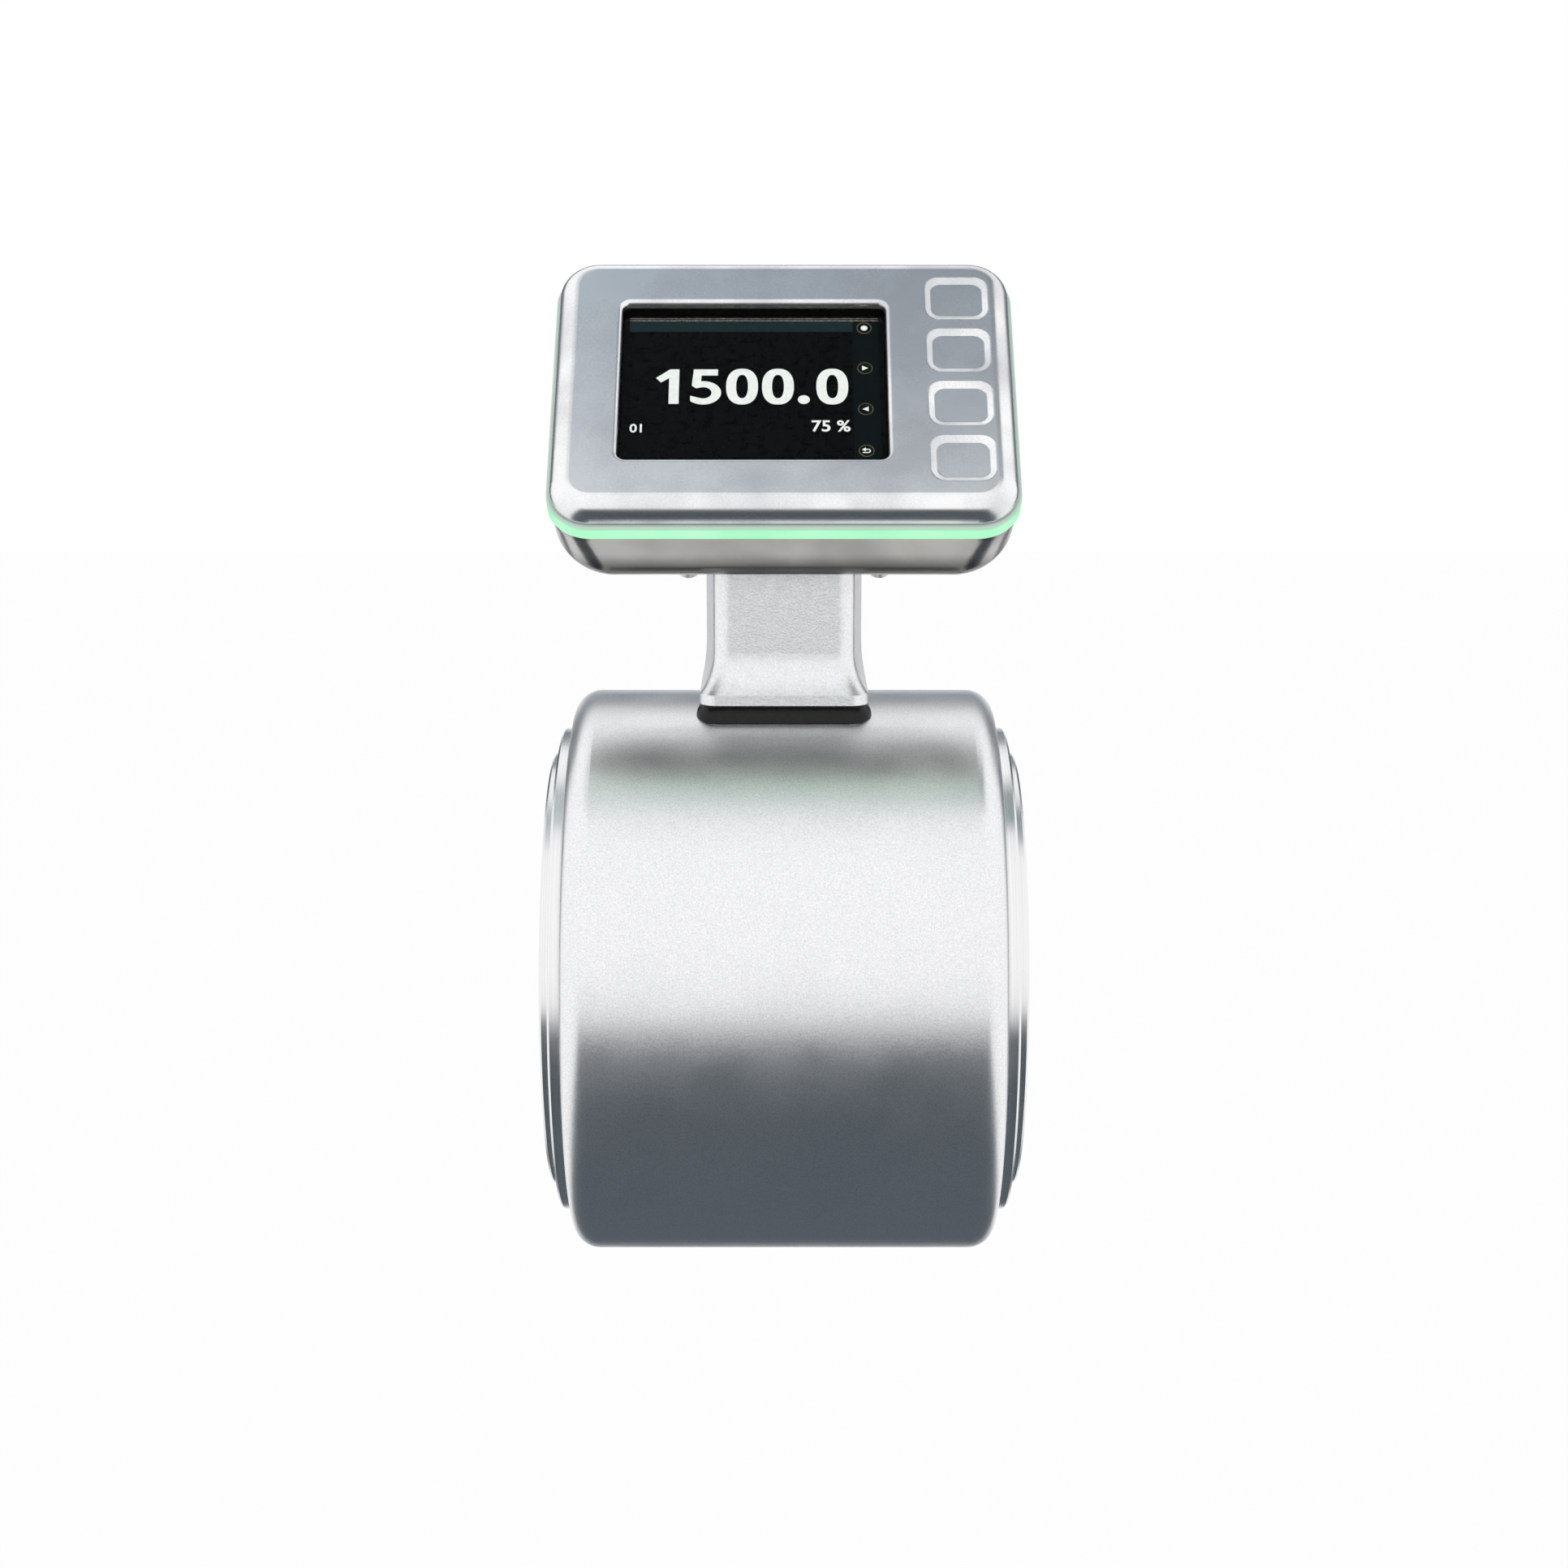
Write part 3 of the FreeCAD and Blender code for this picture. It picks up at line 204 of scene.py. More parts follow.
def card_paint(name, shade_near, shade_far, depth, fade=0.0):
    """A glow that runs from one shade to another into the card, from its own edge at y = 0."""
    paint_of_card = bpy.data.materials.new(name)
    paint_of_card.use_nodes = True
    tree = paint_of_card.node_tree
    tree.nodes.clear()
    split = tree.nodes.new("ShaderNodeSeparateXYZ")
    tree.links.new(tree.nodes.new("ShaderNodeTexCoord").outputs["Object"], split.inputs[0])
    ramp = tree.nodes.new("ShaderNodeMapRange")
    ramp.inputs["From Min"].default_value = fade
    ramp.inputs["From Max"].default_value = depth
    ramp.inputs["To Min"].default_value = shade_near
    ramp.inputs["To Max"].default_value = shade_far
    tree.links.new(split.outputs["Y"], ramp.inputs["Value"])
    white_share = tree.nodes.new("ShaderNodeMapRange")
    white_share.interpolation_type = "SMOOTHSTEP"
    white_share.inputs["From Min"].default_value = 0
    white_share.inputs["From Max"].default_value = max(fade, NO_FADE)
    white_share.inputs["To Min"].default_value = 1
    white_share.inputs["To Max"].default_value = 0
    tree.links.new(split.outputs["Y"], white_share.inputs["Value"])
    tinted = tree.nodes.new("ShaderNodeEmission")
    tinted.inputs["Color"].default_value = (*CARD_TINT, 1)
    tree.links.new(ramp.outputs["Result"], tinted.inputs["Strength"])
    plain = tree.nodes.new("ShaderNodeEmission")
    blend = tree.nodes.new("ShaderNodeMixShader")
    tree.links.new(white_share.outputs["Result"], blend.inputs[0])
    link(tree, tinted, 0, blend, 1)
    link(tree, plain, 0, blend, 2)
    link(tree, blend, 0, tree.nodes.new("ShaderNodeOutputMaterial"), 0)
    return paint_of_card


print("card tint:", CARD_TINT)

# %% Hang the cards


def card(name, edge_middle, along, into, half_width, depth, paint_of_card, far_half=None):
    """A flat sheet that starts at an edge and runs into the set; only reflections see it."""
    across, inward = Vector(along).normalized(), Vector(into).normalized()
    far_half = far_half or half_width
    piece = sheet_object(name, [(-half_width, 0, 0), (half_width, 0, 0),
                                (far_half, depth, 0), (-far_half, depth, 0)])
    turn = Matrix((across, inward, across.cross(inward))).transposed().to_4x4()
    piece.matrix_world = Matrix.Translation(edge_middle) @ turn
    piece.data.materials.append(paint_of_card)
    piece.visible_camera = False
    piece.visible_diffuse = False
    piece.visible_shadow = False


RIGHT, BACK, UP = (1, 0, 0), (0, 1, 0), (0, 0, 1)
LOW_EDGE = Vector((0, -2.60, -0.345))
LOW_BACK = Vector((0, 0.34, -0.33))
LOW_HALF = 1.10
LOW_BACK_HALF = 0.30
LOW_FADE = 1.30
LOW_SHADES = (0.075, 0.125)
HIGH_SIDE = Vector((-0.34, 0.06, 0.82))
HIGH_HALF = 0.19
HIGH_WIDTH = 0.68
HIGH_FADE = 0.28
HIGH_SHADES = (0.40, 0.12)
BACK_FOOT = Vector((0, 0.9, 0.16))
BACK_HALF = 0.70
BACK_HEIGHT = 0.50
BACK_SHADES = (0.30, 0.10)
SIDE_BEARING = math.radians(144)
SIDE_DISTANCE = 1.0
SIDE_FOOT = -0.5
SIDE_HALF = 0.24
SIDE_HEIGHT = 1.1
SIDE_SHADES = (0.10, 0.10)

low_run = LOW_BACK - LOW_EDGE
low_paint = card_paint("low_card_paint", *LOW_SHADES, low_run.length, LOW_FADE)
card("low_card", LOW_EDGE, RIGHT, low_run, LOW_HALF, low_run.length, low_paint, LOW_BACK_HALF)
high_paint = card_paint("high_card_paint", *HIGH_SHADES, HIGH_WIDTH, HIGH_FADE)
card("high_card", HIGH_SIDE, BACK, RIGHT, HIGH_HALF, HIGH_WIDTH, high_paint)
back_paint = card_paint("back_card_paint", *BACK_SHADES, BACK_HEIGHT)
card("back_card", BACK_FOOT, RIGHT, UP, BACK_HALF, BACK_HEIGHT, back_paint)
side_paint = card_paint("side_card_paint", *SIDE_SHADES, SIDE_HEIGHT)
for side, side_name in ((-1, "side_card_left"), (1, "side_card_right")):
    outward = Vector((side * math.sin(SIDE_BEARING), -math.cos(SIDE_BEARING), 0))
    foot = outward * SIDE_DISTANCE + Vector((0, 0, SIDE_FOOT))
    card(side_name, foot, (-outward.y, outward.x, 0), UP, SIDE_HALF, SIDE_HEIGHT, side_paint)
print("cards: low, high, back and two at the sides")

# %% [markdown]
# One large soft lamp in front and above does what a studio's softbox does: it gives plastics and
# the cast neck some shape. It is kept weak, because the world already lights the meter evenly,
# and the metal doesn't mirror it, because the world's white is already as bright as it may be.

# %% Light the set


def soft_lamp(name, place, aim, width, height, glow_level):
    """A flat lamp that points at a place and is seen neither directly nor in the metal."""
    data = bpy.data.lights.new(name, "AREA")
    data.shape = "RECTANGLE"
    data.size = width
    data.size_y = height
    data.energy = glow_level * math.pi * width * height
    lamp = bpy.data.objects.new(name, data)
    lamp.location = place
    lamp.rotation_euler = (Vector(aim) - Vector(place)).to_track_quat("-Z", "Y").to_euler()
    lamp.visible_camera = False
    lamp.visible_glossy = False
    bpy.context.scene.collection.objects.link(lamp)
    return lamp


front_lamp = soft_lamp("front_lamp", place=(-0.25, -1.05, 0.85), aim=(0, 0, 0.05),
                       width=0.9, height=0.7, glow_level=1.12)
print("lamp power:", round(front_lamp.data.energy, 2), "W")

# %% [markdown]
# Every finish below is built from the same few nodes: a coordinate, a noise that gives the
# grain, a spread that turns the grain into a roughness, a tint, and a relief. Writing these as
# helpers keeps each finish down to the numbers that make it what it is. Image textures would
# also work, but they need unwrapping, and a noise measured in metres has the right grain size
# on every piece at once.

# %% Helpers for the finishes


def start_finish(name):
    """A new material, its node tree and its main shader, with the coordinate of each point."""
    finish = bpy.data.materials.new(name)
    finish.use_nodes = True
    tree = finish.node_tree
    shader = tree.nodes["Principled BSDF"]
    place = tree.nodes.new("ShaderNodeTexCoord").outputs["Object"]
    return finish, tree, shader, place


def grain(tree, place, size_mm, detail=2.0):
    """Noise whose lumps are about size_mm across."""
    noise = tree.nodes.new("ShaderNodeTexNoise")
    noise.inputs["Scale"].default_value = 1 / (size_mm * MM)
    noise.inputs["Detail"].default_value = detail
    tree.links.new(place, noise.inputs["Vector"])
    return noise.outputs["Fac"]


NOISE_LOW = 0.3
NOISE_HIGH = 0.7


def spread(tree, value, low, high, start=NOISE_LOW, end=NOISE_HIGH):
    """Stretches the middle of a noise over a range."""
    node = tree.nodes.new("ShaderNodeMapRange")
    node.inputs["From Min"].default_value = start
    node.inputs["From Max"].default_value = end
    node.inputs["To Min"].default_value = low
    node.inputs["To Max"].default_value = high
    tree.links.new(value, node.inputs["Value"])
    return node.outputs["Result"]


def tint(tree, value, dark, light, socket):
    """Runs a colour from dark to light with the noise."""
    ramp = tree.nodes.new("ShaderNodeValToRGB")
    ramp.color_ramp.elements[0].position = NOISE_LOW
    ramp.color_ramp.elements[1].position = NOISE_HIGH
    ramp.color_ramp.elements[0].color = (*dark, 1)
    ramp.color_ramp.elements[1].color = (*light, 1)
    tree.links.new(value, ramp.inputs["Fac"])
    tree.links.new(ramp.outputs["Color"], socket)


def relief(tree, shader, height, depth_mm, strength=0.5, under=None):
    """Raises and sinks the surface by a height, on top of an earlier relief if there is one."""
    bump = tree.nodes.new("ShaderNodeBump")
    bump.inputs["Distance"].default_value = depth_mm * MM
    bump.inputs["Strength"].default_value = strength
    tree.links.new(height, bump.inputs["Height"])
    if under:
        tree.links.new(under.outputs["Normal"], bump.inputs["Normal"])
    tree.links.new(bump.outputs["Normal"], shader.inputs["Normal"])
    return bump


PLAIN_WHITE = (1.0, 1.0, 1.0)
finishes = {}
print("helpers ready")

# %% [markdown]
# The drum is bead blasted: thousands of tiny dents make it satin, and in the half tones they
# sparkle. A plain high roughness gives the soft reflections but looks like paint, so the grain
# is also a relief that tips the surface from bead to bead.

# %% Bead-blasted drum


def satin_steel():
    finish, tree, shader, place = start_finish("satin_steel_finish")
    shader.inputs["Metallic"].default_value = 1
    beads = grain(tree, place, size_mm=0.34, detail=1.0)
    clouds = grain(tree, place, size_mm=14)
    tint(tree, beads, (0.79, 0.80, 0.815), PLAIN_WHITE, shader.inputs["Base Color"])
    tree.links.new(spread(tree, clouds, low=0.30, high=0.36), shader.inputs["Roughness"])
    relief(tree, shader, beads, depth_mm=0.024, strength=0.6)
    return finish


finishes["satin_steel"] = satin_steel()
print("drum finish ready")

# %% [markdown]
# The neck is an investment casting, blasted with coarser beads. It comes out almost white,
# with a visible crumb. The same recipe serves, with larger beads, more relief and more
# roughness.

# %% Blasted casting


def cast_steel():
    finish, tree, shader, place = start_finish("cast_steel_finish")
    shader.inputs["Metallic"].default_value = 0.9
    beads = grain(tree, place, size_mm=0.45, detail=1.5)
    lumps = grain(tree, place, size_mm=2.2)
    tint(tree, beads, (0.83, 0.84, 0.86), PLAIN_WHITE, shader.inputs["Base Color"])
    tree.links.new(spread(tree, lumps, low=0.31, high=0.40), shader.inputs["Roughness"])
    crumbs = relief(tree, shader, lumps, depth_mm=0.04)
    relief(tree, shader, beads, depth_mm=0.05, strength=0.8, under=crumbs)
    return finish


finishes["cast_steel"] = cast_steel()
print("neck finish ready")

# %% [markdown]
# The two shells of the head are pressed from sheet and then polished. The polish leaves fine
# specks in the colour, and slow clouds of sharper and duller metal. The front is a little duller
# than the back. The lower edge of the back shell has a painted reflection: its colour is darkened
# towards the bottom, in place of the dark that a real meter mirrors there from what stands round
# it. A painted tint is the simpler way, but it also shows from sides where the edge would mirror
# something bright.

# %% Pressed and drawn sheet


FINE_SHARE = 0.30
FINE_MM = 0.45
UNDERSIDE_FULL = 105.5 * MM
UNDERSIDE_LOW = 101.0 * MM
UNDERSIDE_SHARE = 0.30


def sheet_steel(name, dark, light, dull, sharp, cloud_mm):
    """Polished sheet: fine specks on slow clouds in the colour, and the clouds in the shine."""
    finish, tree, shader, place = start_finish(name)
    shader.inputs["Metallic"].default_value = 1
    fine = grain(tree, place, FINE_MM)
    clouds = grain(tree, place, cloud_mm)
    both = tree.nodes.new("ShaderNodeMath")
    both.operation = "MULTIPLY_ADD"
    both.inputs[1].default_value = FINE_SHARE
    tree.links.new(fine, both.inputs[0])
    cloud_part = spread(tree, clouds, 0.25 - FINE_SHARE / 2, 0.75 - FINE_SHARE / 2)
    tree.links.new(cloud_part, both.inputs[2])
    tint(tree, both.outputs[0], dark, light, shader.inputs["Base Color"])
    tree.links.new(spread(tree, clouds, dull, sharp), shader.inputs["Roughness"])
    return finish


def painted_reflection_below(finish, full_height, low_height, share):
    """Painted reflection: darkens a sheet's colour to a share of itself between two heights."""
    tree = finish.node_tree
    shader = tree.nodes["Principled BSDF"]
    colour = shader.inputs["Base Color"].links[0].from_socket
    place = tree.nodes.new("ShaderNodeTexCoord").outputs["Object"]
    split = tree.nodes.new("ShaderNodeSeparateXYZ")
    tree.links.new(place, split.inputs[0])
    ramp = tree.nodes.new("ShaderNodeMapRange")
    ramp.interpolation_type = "SMOOTHSTEP"
    ramp.inputs["From Min"].default_value = low_height
    ramp.inputs["From Max"].default_value = full_height
    ramp.inputs["To Min"].default_value = share
    tree.links.new(split.outputs["Z"], ramp.inputs["Value"])
    mixed = tree.nodes.new("ShaderNodeVectorMath")
    mixed.operation = "SCALE"
    tree.links.new(colour, mixed.inputs[0])
    tree.links.new(ramp.outputs["Result"], mixed.inputs["Scale"])
    tree.links.new(mixed.outputs["Vector"], shader.inputs["Base Color"])


SHEETS = {
    "pressed_steel": {"dark": (0.69, 0.70, 0.725), "light": (0.96, 0.965, 0.97),
                      "dull": 0.31, "sharp": 0.22, "cloud_mm": 17},
    "drawn_steel": {"dark": (0.42, 0.41, 0.395), "light": (0.52, 0.51, 0.49),
                    "dull": 0.26, "sharp": 0.19, "cloud_mm": 14},
    "chassis_metal": {"dark": (0.62, 0.63, 0.64), "light": (0.72, 0.73, 0.74),
                      "dull": 0.42, "sharp": 0.32, "cloud_mm": 12},
}
for stuff, look in SHEETS.items():
    finishes[stuff] = sheet_steel(stuff + "_finish", **look)
# Painted reflection: the back shell's colour is darkened towards its lower edge.
painted_reflection_below(finishes["drawn_steel"], UNDERSIDE_FULL, UNDERSIDE_LOW, UNDERSIDE_SHARE)
print("sheet finishes ready")

# %% [markdown]
# Turned faces carry the spiral of the lathe tool. Adding the distance from the axis to the
# distance along it gives one coordinate that runs across the feed marks on faces and on
# barrels alike, so a single noise draws the marks on both.

# %% Turned steel


def turned_steel():
    finish, tree, shader, place = start_finish("turned_steel_finish")
    shader.inputs["Metallic"].default_value = 1
    split = tree.nodes.new("ShaderNodeSeparateXYZ")
    flat = tree.nodes.new("ShaderNodeCombineXYZ")
    away = tree.nodes.new("ShaderNodeVectorMath")
    away.operation = "LENGTH"
    total = tree.nodes.new("ShaderNodeMath")
    marks = tree.nodes.new("ShaderNodeCombineXYZ")
    tree.links.new(place, split.inputs[0])
    tree.links.new(split.outputs["Y"], flat.inputs["Y"])
    tree.links.new(split.outputs["Z"], flat.inputs["Z"])
    link(tree, flat, 0, away, 0)
    tree.links.new(away.outputs["Value"], total.inputs[0])
    tree.links.new(split.outputs["X"], total.inputs[1])
    link(tree, total, 0, marks, 0)
    feed = grain(tree, marks.outputs[0], size_mm=0.5)
    broad = grain(tree, place, size_mm=9)
    tint(tree, feed, (0.82, 0.825, 0.83), (0.98, 0.98, 0.98), shader.inputs["Base Color"])
    tree.links.new(spread(tree, broad, low=0.22, high=0.30), shader.inputs["Roughness"])
    relief(tree, shader, feed, depth_mm=0.006)
    return finish


finishes["turned_steel"] = turned_steel()
print("turned finish ready")

# %% [markdown]
# The small metals inside and outside share one recipe: a metal colour, a grain and a shine.
# Only the numbers differ between a zinc screw, a gold contact, a copper winding and soft iron.

# %% Small metals


SHINE_SPREAD = 0.1


def small_metal(name, dark, light, shine, size_mm, depth_mm):
    """Metal with one grain in its colour, its shine and its relief."""
    finish, tree, shader, place = start_finish(name)
    shader.inputs["Metallic"].default_value = 1
    speck = grain(tree, place, size_mm)
    tint(tree, speck, dark, light, shader.inputs["Base Color"])
    tree.links.new(spread(tree, speck, shine, shine + SHINE_SPREAD), shader.inputs["Roughness"])
    relief(tree, shader, speck, depth_mm)
    return finish


SMALL_METALS = {
    "bright_fastener": {"dark": (0.60, 0.60, 0.60), "light": (0.76, 0.76, 0.75),
                        "shine": 0.22, "size_mm": 0.6, "depth_mm": 0.01},
    "soft_iron": {"dark": (0.26, 0.26, 0.27), "light": (0.36, 0.36, 0.37),
                  "shine": 0.42, "size_mm": 0.8, "depth_mm": 0.02},
    "probe_alloy": {"dark": (0.56, 0.54, 0.50), "light": (0.68, 0.66, 0.62),
                    "shine": 0.16, "size_mm": 0.5, "depth_mm": 0.005},
    "gold_contact": {"dark": (0.80, 0.56, 0.18), "light": (0.94, 0.72, 0.30),
                     "shine": 0.2, "size_mm": 0.4, "depth_mm": 0.004},
    "copper_winding": {"dark": (0.46, 0.14, 0.05), "light": (0.66, 0.26, 0.12),
                       "shine": 0.32, "size_mm": 0.5, "depth_mm": 0.05},
}
for stuff, look in SMALL_METALS.items():
    finishes[stuff] = small_metal(stuff + "_finish", **look)
print("small metals ready")

# %% [markdown]
# Rubbers, plastics and circuit boards are not metal: their colour comes from inside, with a thin
# clear shine on top. A noise makes the colour and the shine uneven, as moulded parts are.

# %% Rubbers and plastics


def moulded(name, dark, light, dull, sharp, size_mm, depth_mm):
    """A stuff that isn't metal, with one grain in its colour, its shine and its relief."""
    finish, tree, shader, place = start_finish(name)
    speck = grain(tree, place, size_mm, detail=3.0)
    tint(tree, speck, dark, light, shader.inputs["Base Color"])
    tree.links.new(spread(tree, speck, sharp, dull), shader.inputs["Roughness"])
    relief(tree, shader, speck, depth_mm)
    return finish


MOULDED = {
    "black_rubber": {"dark": (0.003, 0.003, 0.004), "light": (0.008, 0.008, 0.009),
                     "dull": 0.32, "sharp": 0.22, "size_mm": 1.4, "depth_mm": 0.01},
    "black_plastic": {"dark": (0.010, 0.010, 0.011), "light": (0.020, 0.020, 0.022),
                      "dull": 0.46, "sharp": 0.34, "size_mm": 0.5, "depth_mm": 0.012},
    "cable_black": {"dark": (0.010, 0.010, 0.010), "light": (0.018, 0.018, 0.019),
                    "dull": 0.55, "sharp": 0.42, "size_mm": 0.8, "depth_mm": 0.02},
    "liner_plastic": {"dark": (0.56, 0.47, 0.34), "light": (0.66, 0.57, 0.43),
                      "dull": 0.42, "sharp": 0.30, "size_mm": 1.2, "depth_mm": 0.010},
    "bush_plastic": {"dark": (0.68, 0.66, 0.58), "light": (0.78, 0.76, 0.69),
                     "dull": 0.45, "sharp": 0.35, "size_mm": 0.8, "depth_mm": 0.010},
    "board_green": {"dark": (0.010, 0.080, 0.028), "light": (0.020, 0.130, 0.045),
                    "dull": 0.42, "sharp": 0.28, "size_mm": 1.6, "depth_mm": 0.02},
    "lamp_white": {"dark": (0.72, 0.72, 0.66), "light": (0.86, 0.86, 0.80),
                   "dull": 0.35, "sharp": 0.25, "size_mm": 0.5, "depth_mm": 0.01},
    "display_black": {"dark": (0.0005, 0.0006, 0.0008), "light": (0.0011, 0.0012, 0.0014),
                      "dull": 0.34, "sharp": 0.24, "size_mm": 2.0, "depth_mm": 0.001},
}
for stuff, look in MOULDED.items():
    finishes[stuff] = moulded(stuff + "_finish", **look)

# The clear shine on top is weaker on these two: rubber that has lost its gloss, and a display
# with a coating against reflections.
DISPLAY_SHINE = 0.06
RUBBER_SHINE = 0.28
for stuff, shine in (("display_black", DISPLAY_SHINE), ("black_rubber", RUBBER_SHINE)):
    coated = finishes[stuff].node_tree.nodes["Principled BSDF"]
    coated.inputs["Specular IOR Level"].default_value = shine
print("rubbers and plastics ready")

# %% [markdown]
# The pane is clear glass with a coating that takes most of the mirror image away, so that the
# black display behind it stays black. A low index of refraction does that in one number. The
# light ring is a milky plastic lit from inside by a row of lamps: it glows evenly, a little
# brighter over each lamp, and stays pale close under the rim of the front shell.

# %% Glass and light ring
PANE_CLOUD_MM = 30
PANE_DULLEST = 0.004
COATED_GLASS = 1.10
LAMP_PITCH_MM = 15.0
LAMP_PATCH = 0.7
RING_GLOW = 0.44
RING_TONGUE = 1.45 * MM
RING_PALE = 1.3 * MM
RING_ROUGHNESS = 0.35
LAMP_GREENS = ((0.25, 0.80, 0.40), (0.40, 0.95, 0.53))
PALE_RING = (0.62, 0.66, 0.66)
LIT_RING = (0.42, 0.86, 0.56)


def pane_glass():
    finish, tree, shader, place = start_finish("pane_glass_finish")
    shader.inputs["Base Color"].default_value = (*PLAIN_WHITE, 1)
    shader.inputs["Transmission Weight"].default_value = 1
    shader.inputs["IOR"].default_value = COATED_GLASS
    sweep = grain(tree, place, PANE_CLOUD_MM, detail=1.0)
    tree.links.new(spread(tree, sweep, 0.0, PANE_DULLEST), shader.inputs["Roughness"])
    return finish


def ring_green(top):
    """Milky plastic that glows over the lamps and stays pale under the rim of the front shell."""
    finish, tree, shader, place = start_finish("ring_green_finish")
    glow_patches = grain(tree, place, LAMP_PITCH_MM * LAMP_PATCH, detail=1.0)
    tint(tree, glow_patches, *LAMP_GREENS, shader.inputs["Emission Color"])
    along = tree.nodes.new("ShaderNodeVectorMath")
    along.operation = "DOT_PRODUCT"
    along.inputs[1].default_value = face_out
    tree.links.new(place, along.inputs[0])
    rim = top - RING_TONGUE
    band = spread(tree, along.outputs["Value"], 0.0, RING_GLOW, rim, rim - RING_PALE)
    tree.links.new(band, shader.inputs["Emission Strength"])
    band_as_noise = spread(tree, band, NOISE_LOW, NOISE_HIGH, 0.0, RING_GLOW)
    tint(tree, band_as_noise, PALE_RING, LIT_RING, shader.inputs["Base Color"])
    shader.inputs["Roughness"].default_value = RING_ROUGHNESS
    return finish


finishes["pane_glass"] = pane_glass()
ring_heights = [face_out.dot(vertex.co) for vertex in nodes["light_ring"].data.vertices]
finishes["ring_green"] = ring_green(max(ring_heights))
print("glass and ring ready")

# %% [markdown]
# Each piece of the frame already says which kind of stuff it is made of, so the finishes can be
# handed out by that name in one loop.

# %% Hand out the finishes
for node in nodes.values():
    stuff = node.data.materials[0].name
    node.data.materials[0] = finishes[stuff]
print("finishes:", len(finishes), "on", len(nodes), "pieces")

# %% [markdown]
# The flat seal under the neck has a soft skirt that is pressed down on the round drum. It is
# moulded with the seal on the real meter. Here it is a ring of cross-sections set side by side
# round the foot: each one starts in the joint, bulges a little, and ends on the drum. The skirt
# runs further down the drum than the real lip: its lower part is a painted reflection, black laid
# where the drum mirrors the lip darkly, and it hides the bright edge of the pad under the seal.

# %% Skirt of the neck seal
SKIRT_CORNER = 4.7 * MM
SKIRT_TUCK = 0.25 * MM
SKIRT_BULGE = 0.50 * MM
# Lip and painted reflection: the lower part of this reach is black laid on the drum.
SKIRT_AND_REFLECTION_REACH = 1.90 * MM
SKIRT_WALL = 0.3 * MM
SKIRT_TOP_DROP = 0.15 * MM
SKIRT_DRUM_SINK = 0.1 * MM
SKIRT_LEAST_HEIGHT = 0.4 * MM
SKIRT_FLARE_POWER = 0.5
SKIRT_BULGE_POWER = 0.7
SKIRT_PROFILE_STEPS = 7
SKIRT_CORNER_STEPS = 10
SKIRT_SIDE_STEPS = 16

seal_low, seal_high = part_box("neck_gasket")


def foot_outline(half_x, half_y, corner):
    """Places and outward directions round a rectangle with round corners."""
    spots = []
    turns = ((1, 1, 0), (-1, 1, 90), (-1, -1, 180), (1, -1, 270))
    for number, (side_x, side_y, first) in enumerate(turns):
        centre = Vector((side_x * (half_x - corner), side_y * (half_y - corner), 0))
        for i in range(SKIRT_CORNER_STEPS + 1):
            angle = math.radians(first + 90 * i / SKIRT_CORNER_STEPS)
            out = Vector((math.cos(angle), math.sin(angle), 0))
            spots.append((centre + out * corner, out))
        next_x, next_y = turns[(number + 1) % len(turns)][:2]
        end = Vector((next_x * (half_x - corner), next_y * (half_y - corner), 0)) + out * corner
        start = spots[-1][0]
        for i in range(1, SKIRT_SIDE_STEPS):
            spots.append((start.lerp(end, i / SKIRT_SIDE_STEPS), out))
    return spots


def drum_top(y, radius):
    """Height of the round drum at a distance from its middle line."""
    return math.sqrt(max(radius ** 2 - y ** 2, 0))


def mesh_piece(name, mesh, finish):
    """Puts a finished mesh into the scene as one piece that rides on the root."""
    bmesh.ops.recalc_face_normals(mesh, faces=mesh.faces)
    data = bpy.data.meshes.new(name)
    mesh.to_mesh(data)
    mesh.free()
    data.materials.append(finish)
    piece = bpy.data.objects.new(name, data)
    bpy.context.scene.collection.objects.link(piece)
    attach(piece, "root")
    return piece


def seal_skirt():
    """Rows of points from the joint over the bulge to the drum, joined into a thin wall."""
    mesh = bmesh.new()
    rows = []
    half_x, half_y = (seal_high.x - seal_low.x) / 2, (seal_high.y - seal_low.y) / 2
    for spot, out in foot_outline(half_x, half_y, SKIRT_CORNER):
        top = seal_high.z - SKIRT_TOP_DROP
        lowest = drum_top(abs(spot.y) + SKIRT_AND_REFLECTION_REACH, drum_radius) - SKIRT_DRUM_SINK
        low = min(lowest, top - SKIRT_LEAST_HEIGHT)
        row = []
        for i in range(SKIRT_PROFILE_STEPS):
            share = i / (SKIRT_PROFILE_STEPS - 1)
            full_reach = SKIRT_AND_REFLECTION_REACH + SKIRT_TUCK
            reach = full_reach * share * abs(out.y) ** SKIRT_FLARE_POWER - SKIRT_TUCK
            reach += SKIRT_BULGE * math.sin(math.pi * share) ** SKIRT_BULGE_POWER
            height = Vector((0, 0, top + (low - top) * share))
            row.append(mesh.verts.new(spot + out * reach + height))
        rows.append(row)
    for row, following in zip(rows, rows[1:] + rows[:1]):
        for i in range(SKIRT_PROFILE_STEPS - 1):
            face = mesh.faces.new((row[i], row[i + 1], following[i + 1], following[i]))
            face.smooth = True
    piece = mesh_piece("neck_seal_skirt", mesh, finishes["black_rubber"])
    wall = piece.modifiers.new("wall", "SOLIDIFY")
    wall.thickness = SKIRT_WALL
    wall.offset = -1
    return piece


skirt = seal_skirt()
print("skirt size:", [round(v / MM, 1) for v in skirt.dimensions])

# %% [markdown]
# The nose of the plug connection at the back carries a fine thread for the nut of the cable. A
# thread is one small ridge that climbs round the nose. It is made as a strip of three points,
# root, crest and root, that is turned round the axis and moved on a little with every step. A
# stack of separate rings would be simpler, but it doesn't look right where the light runs along.

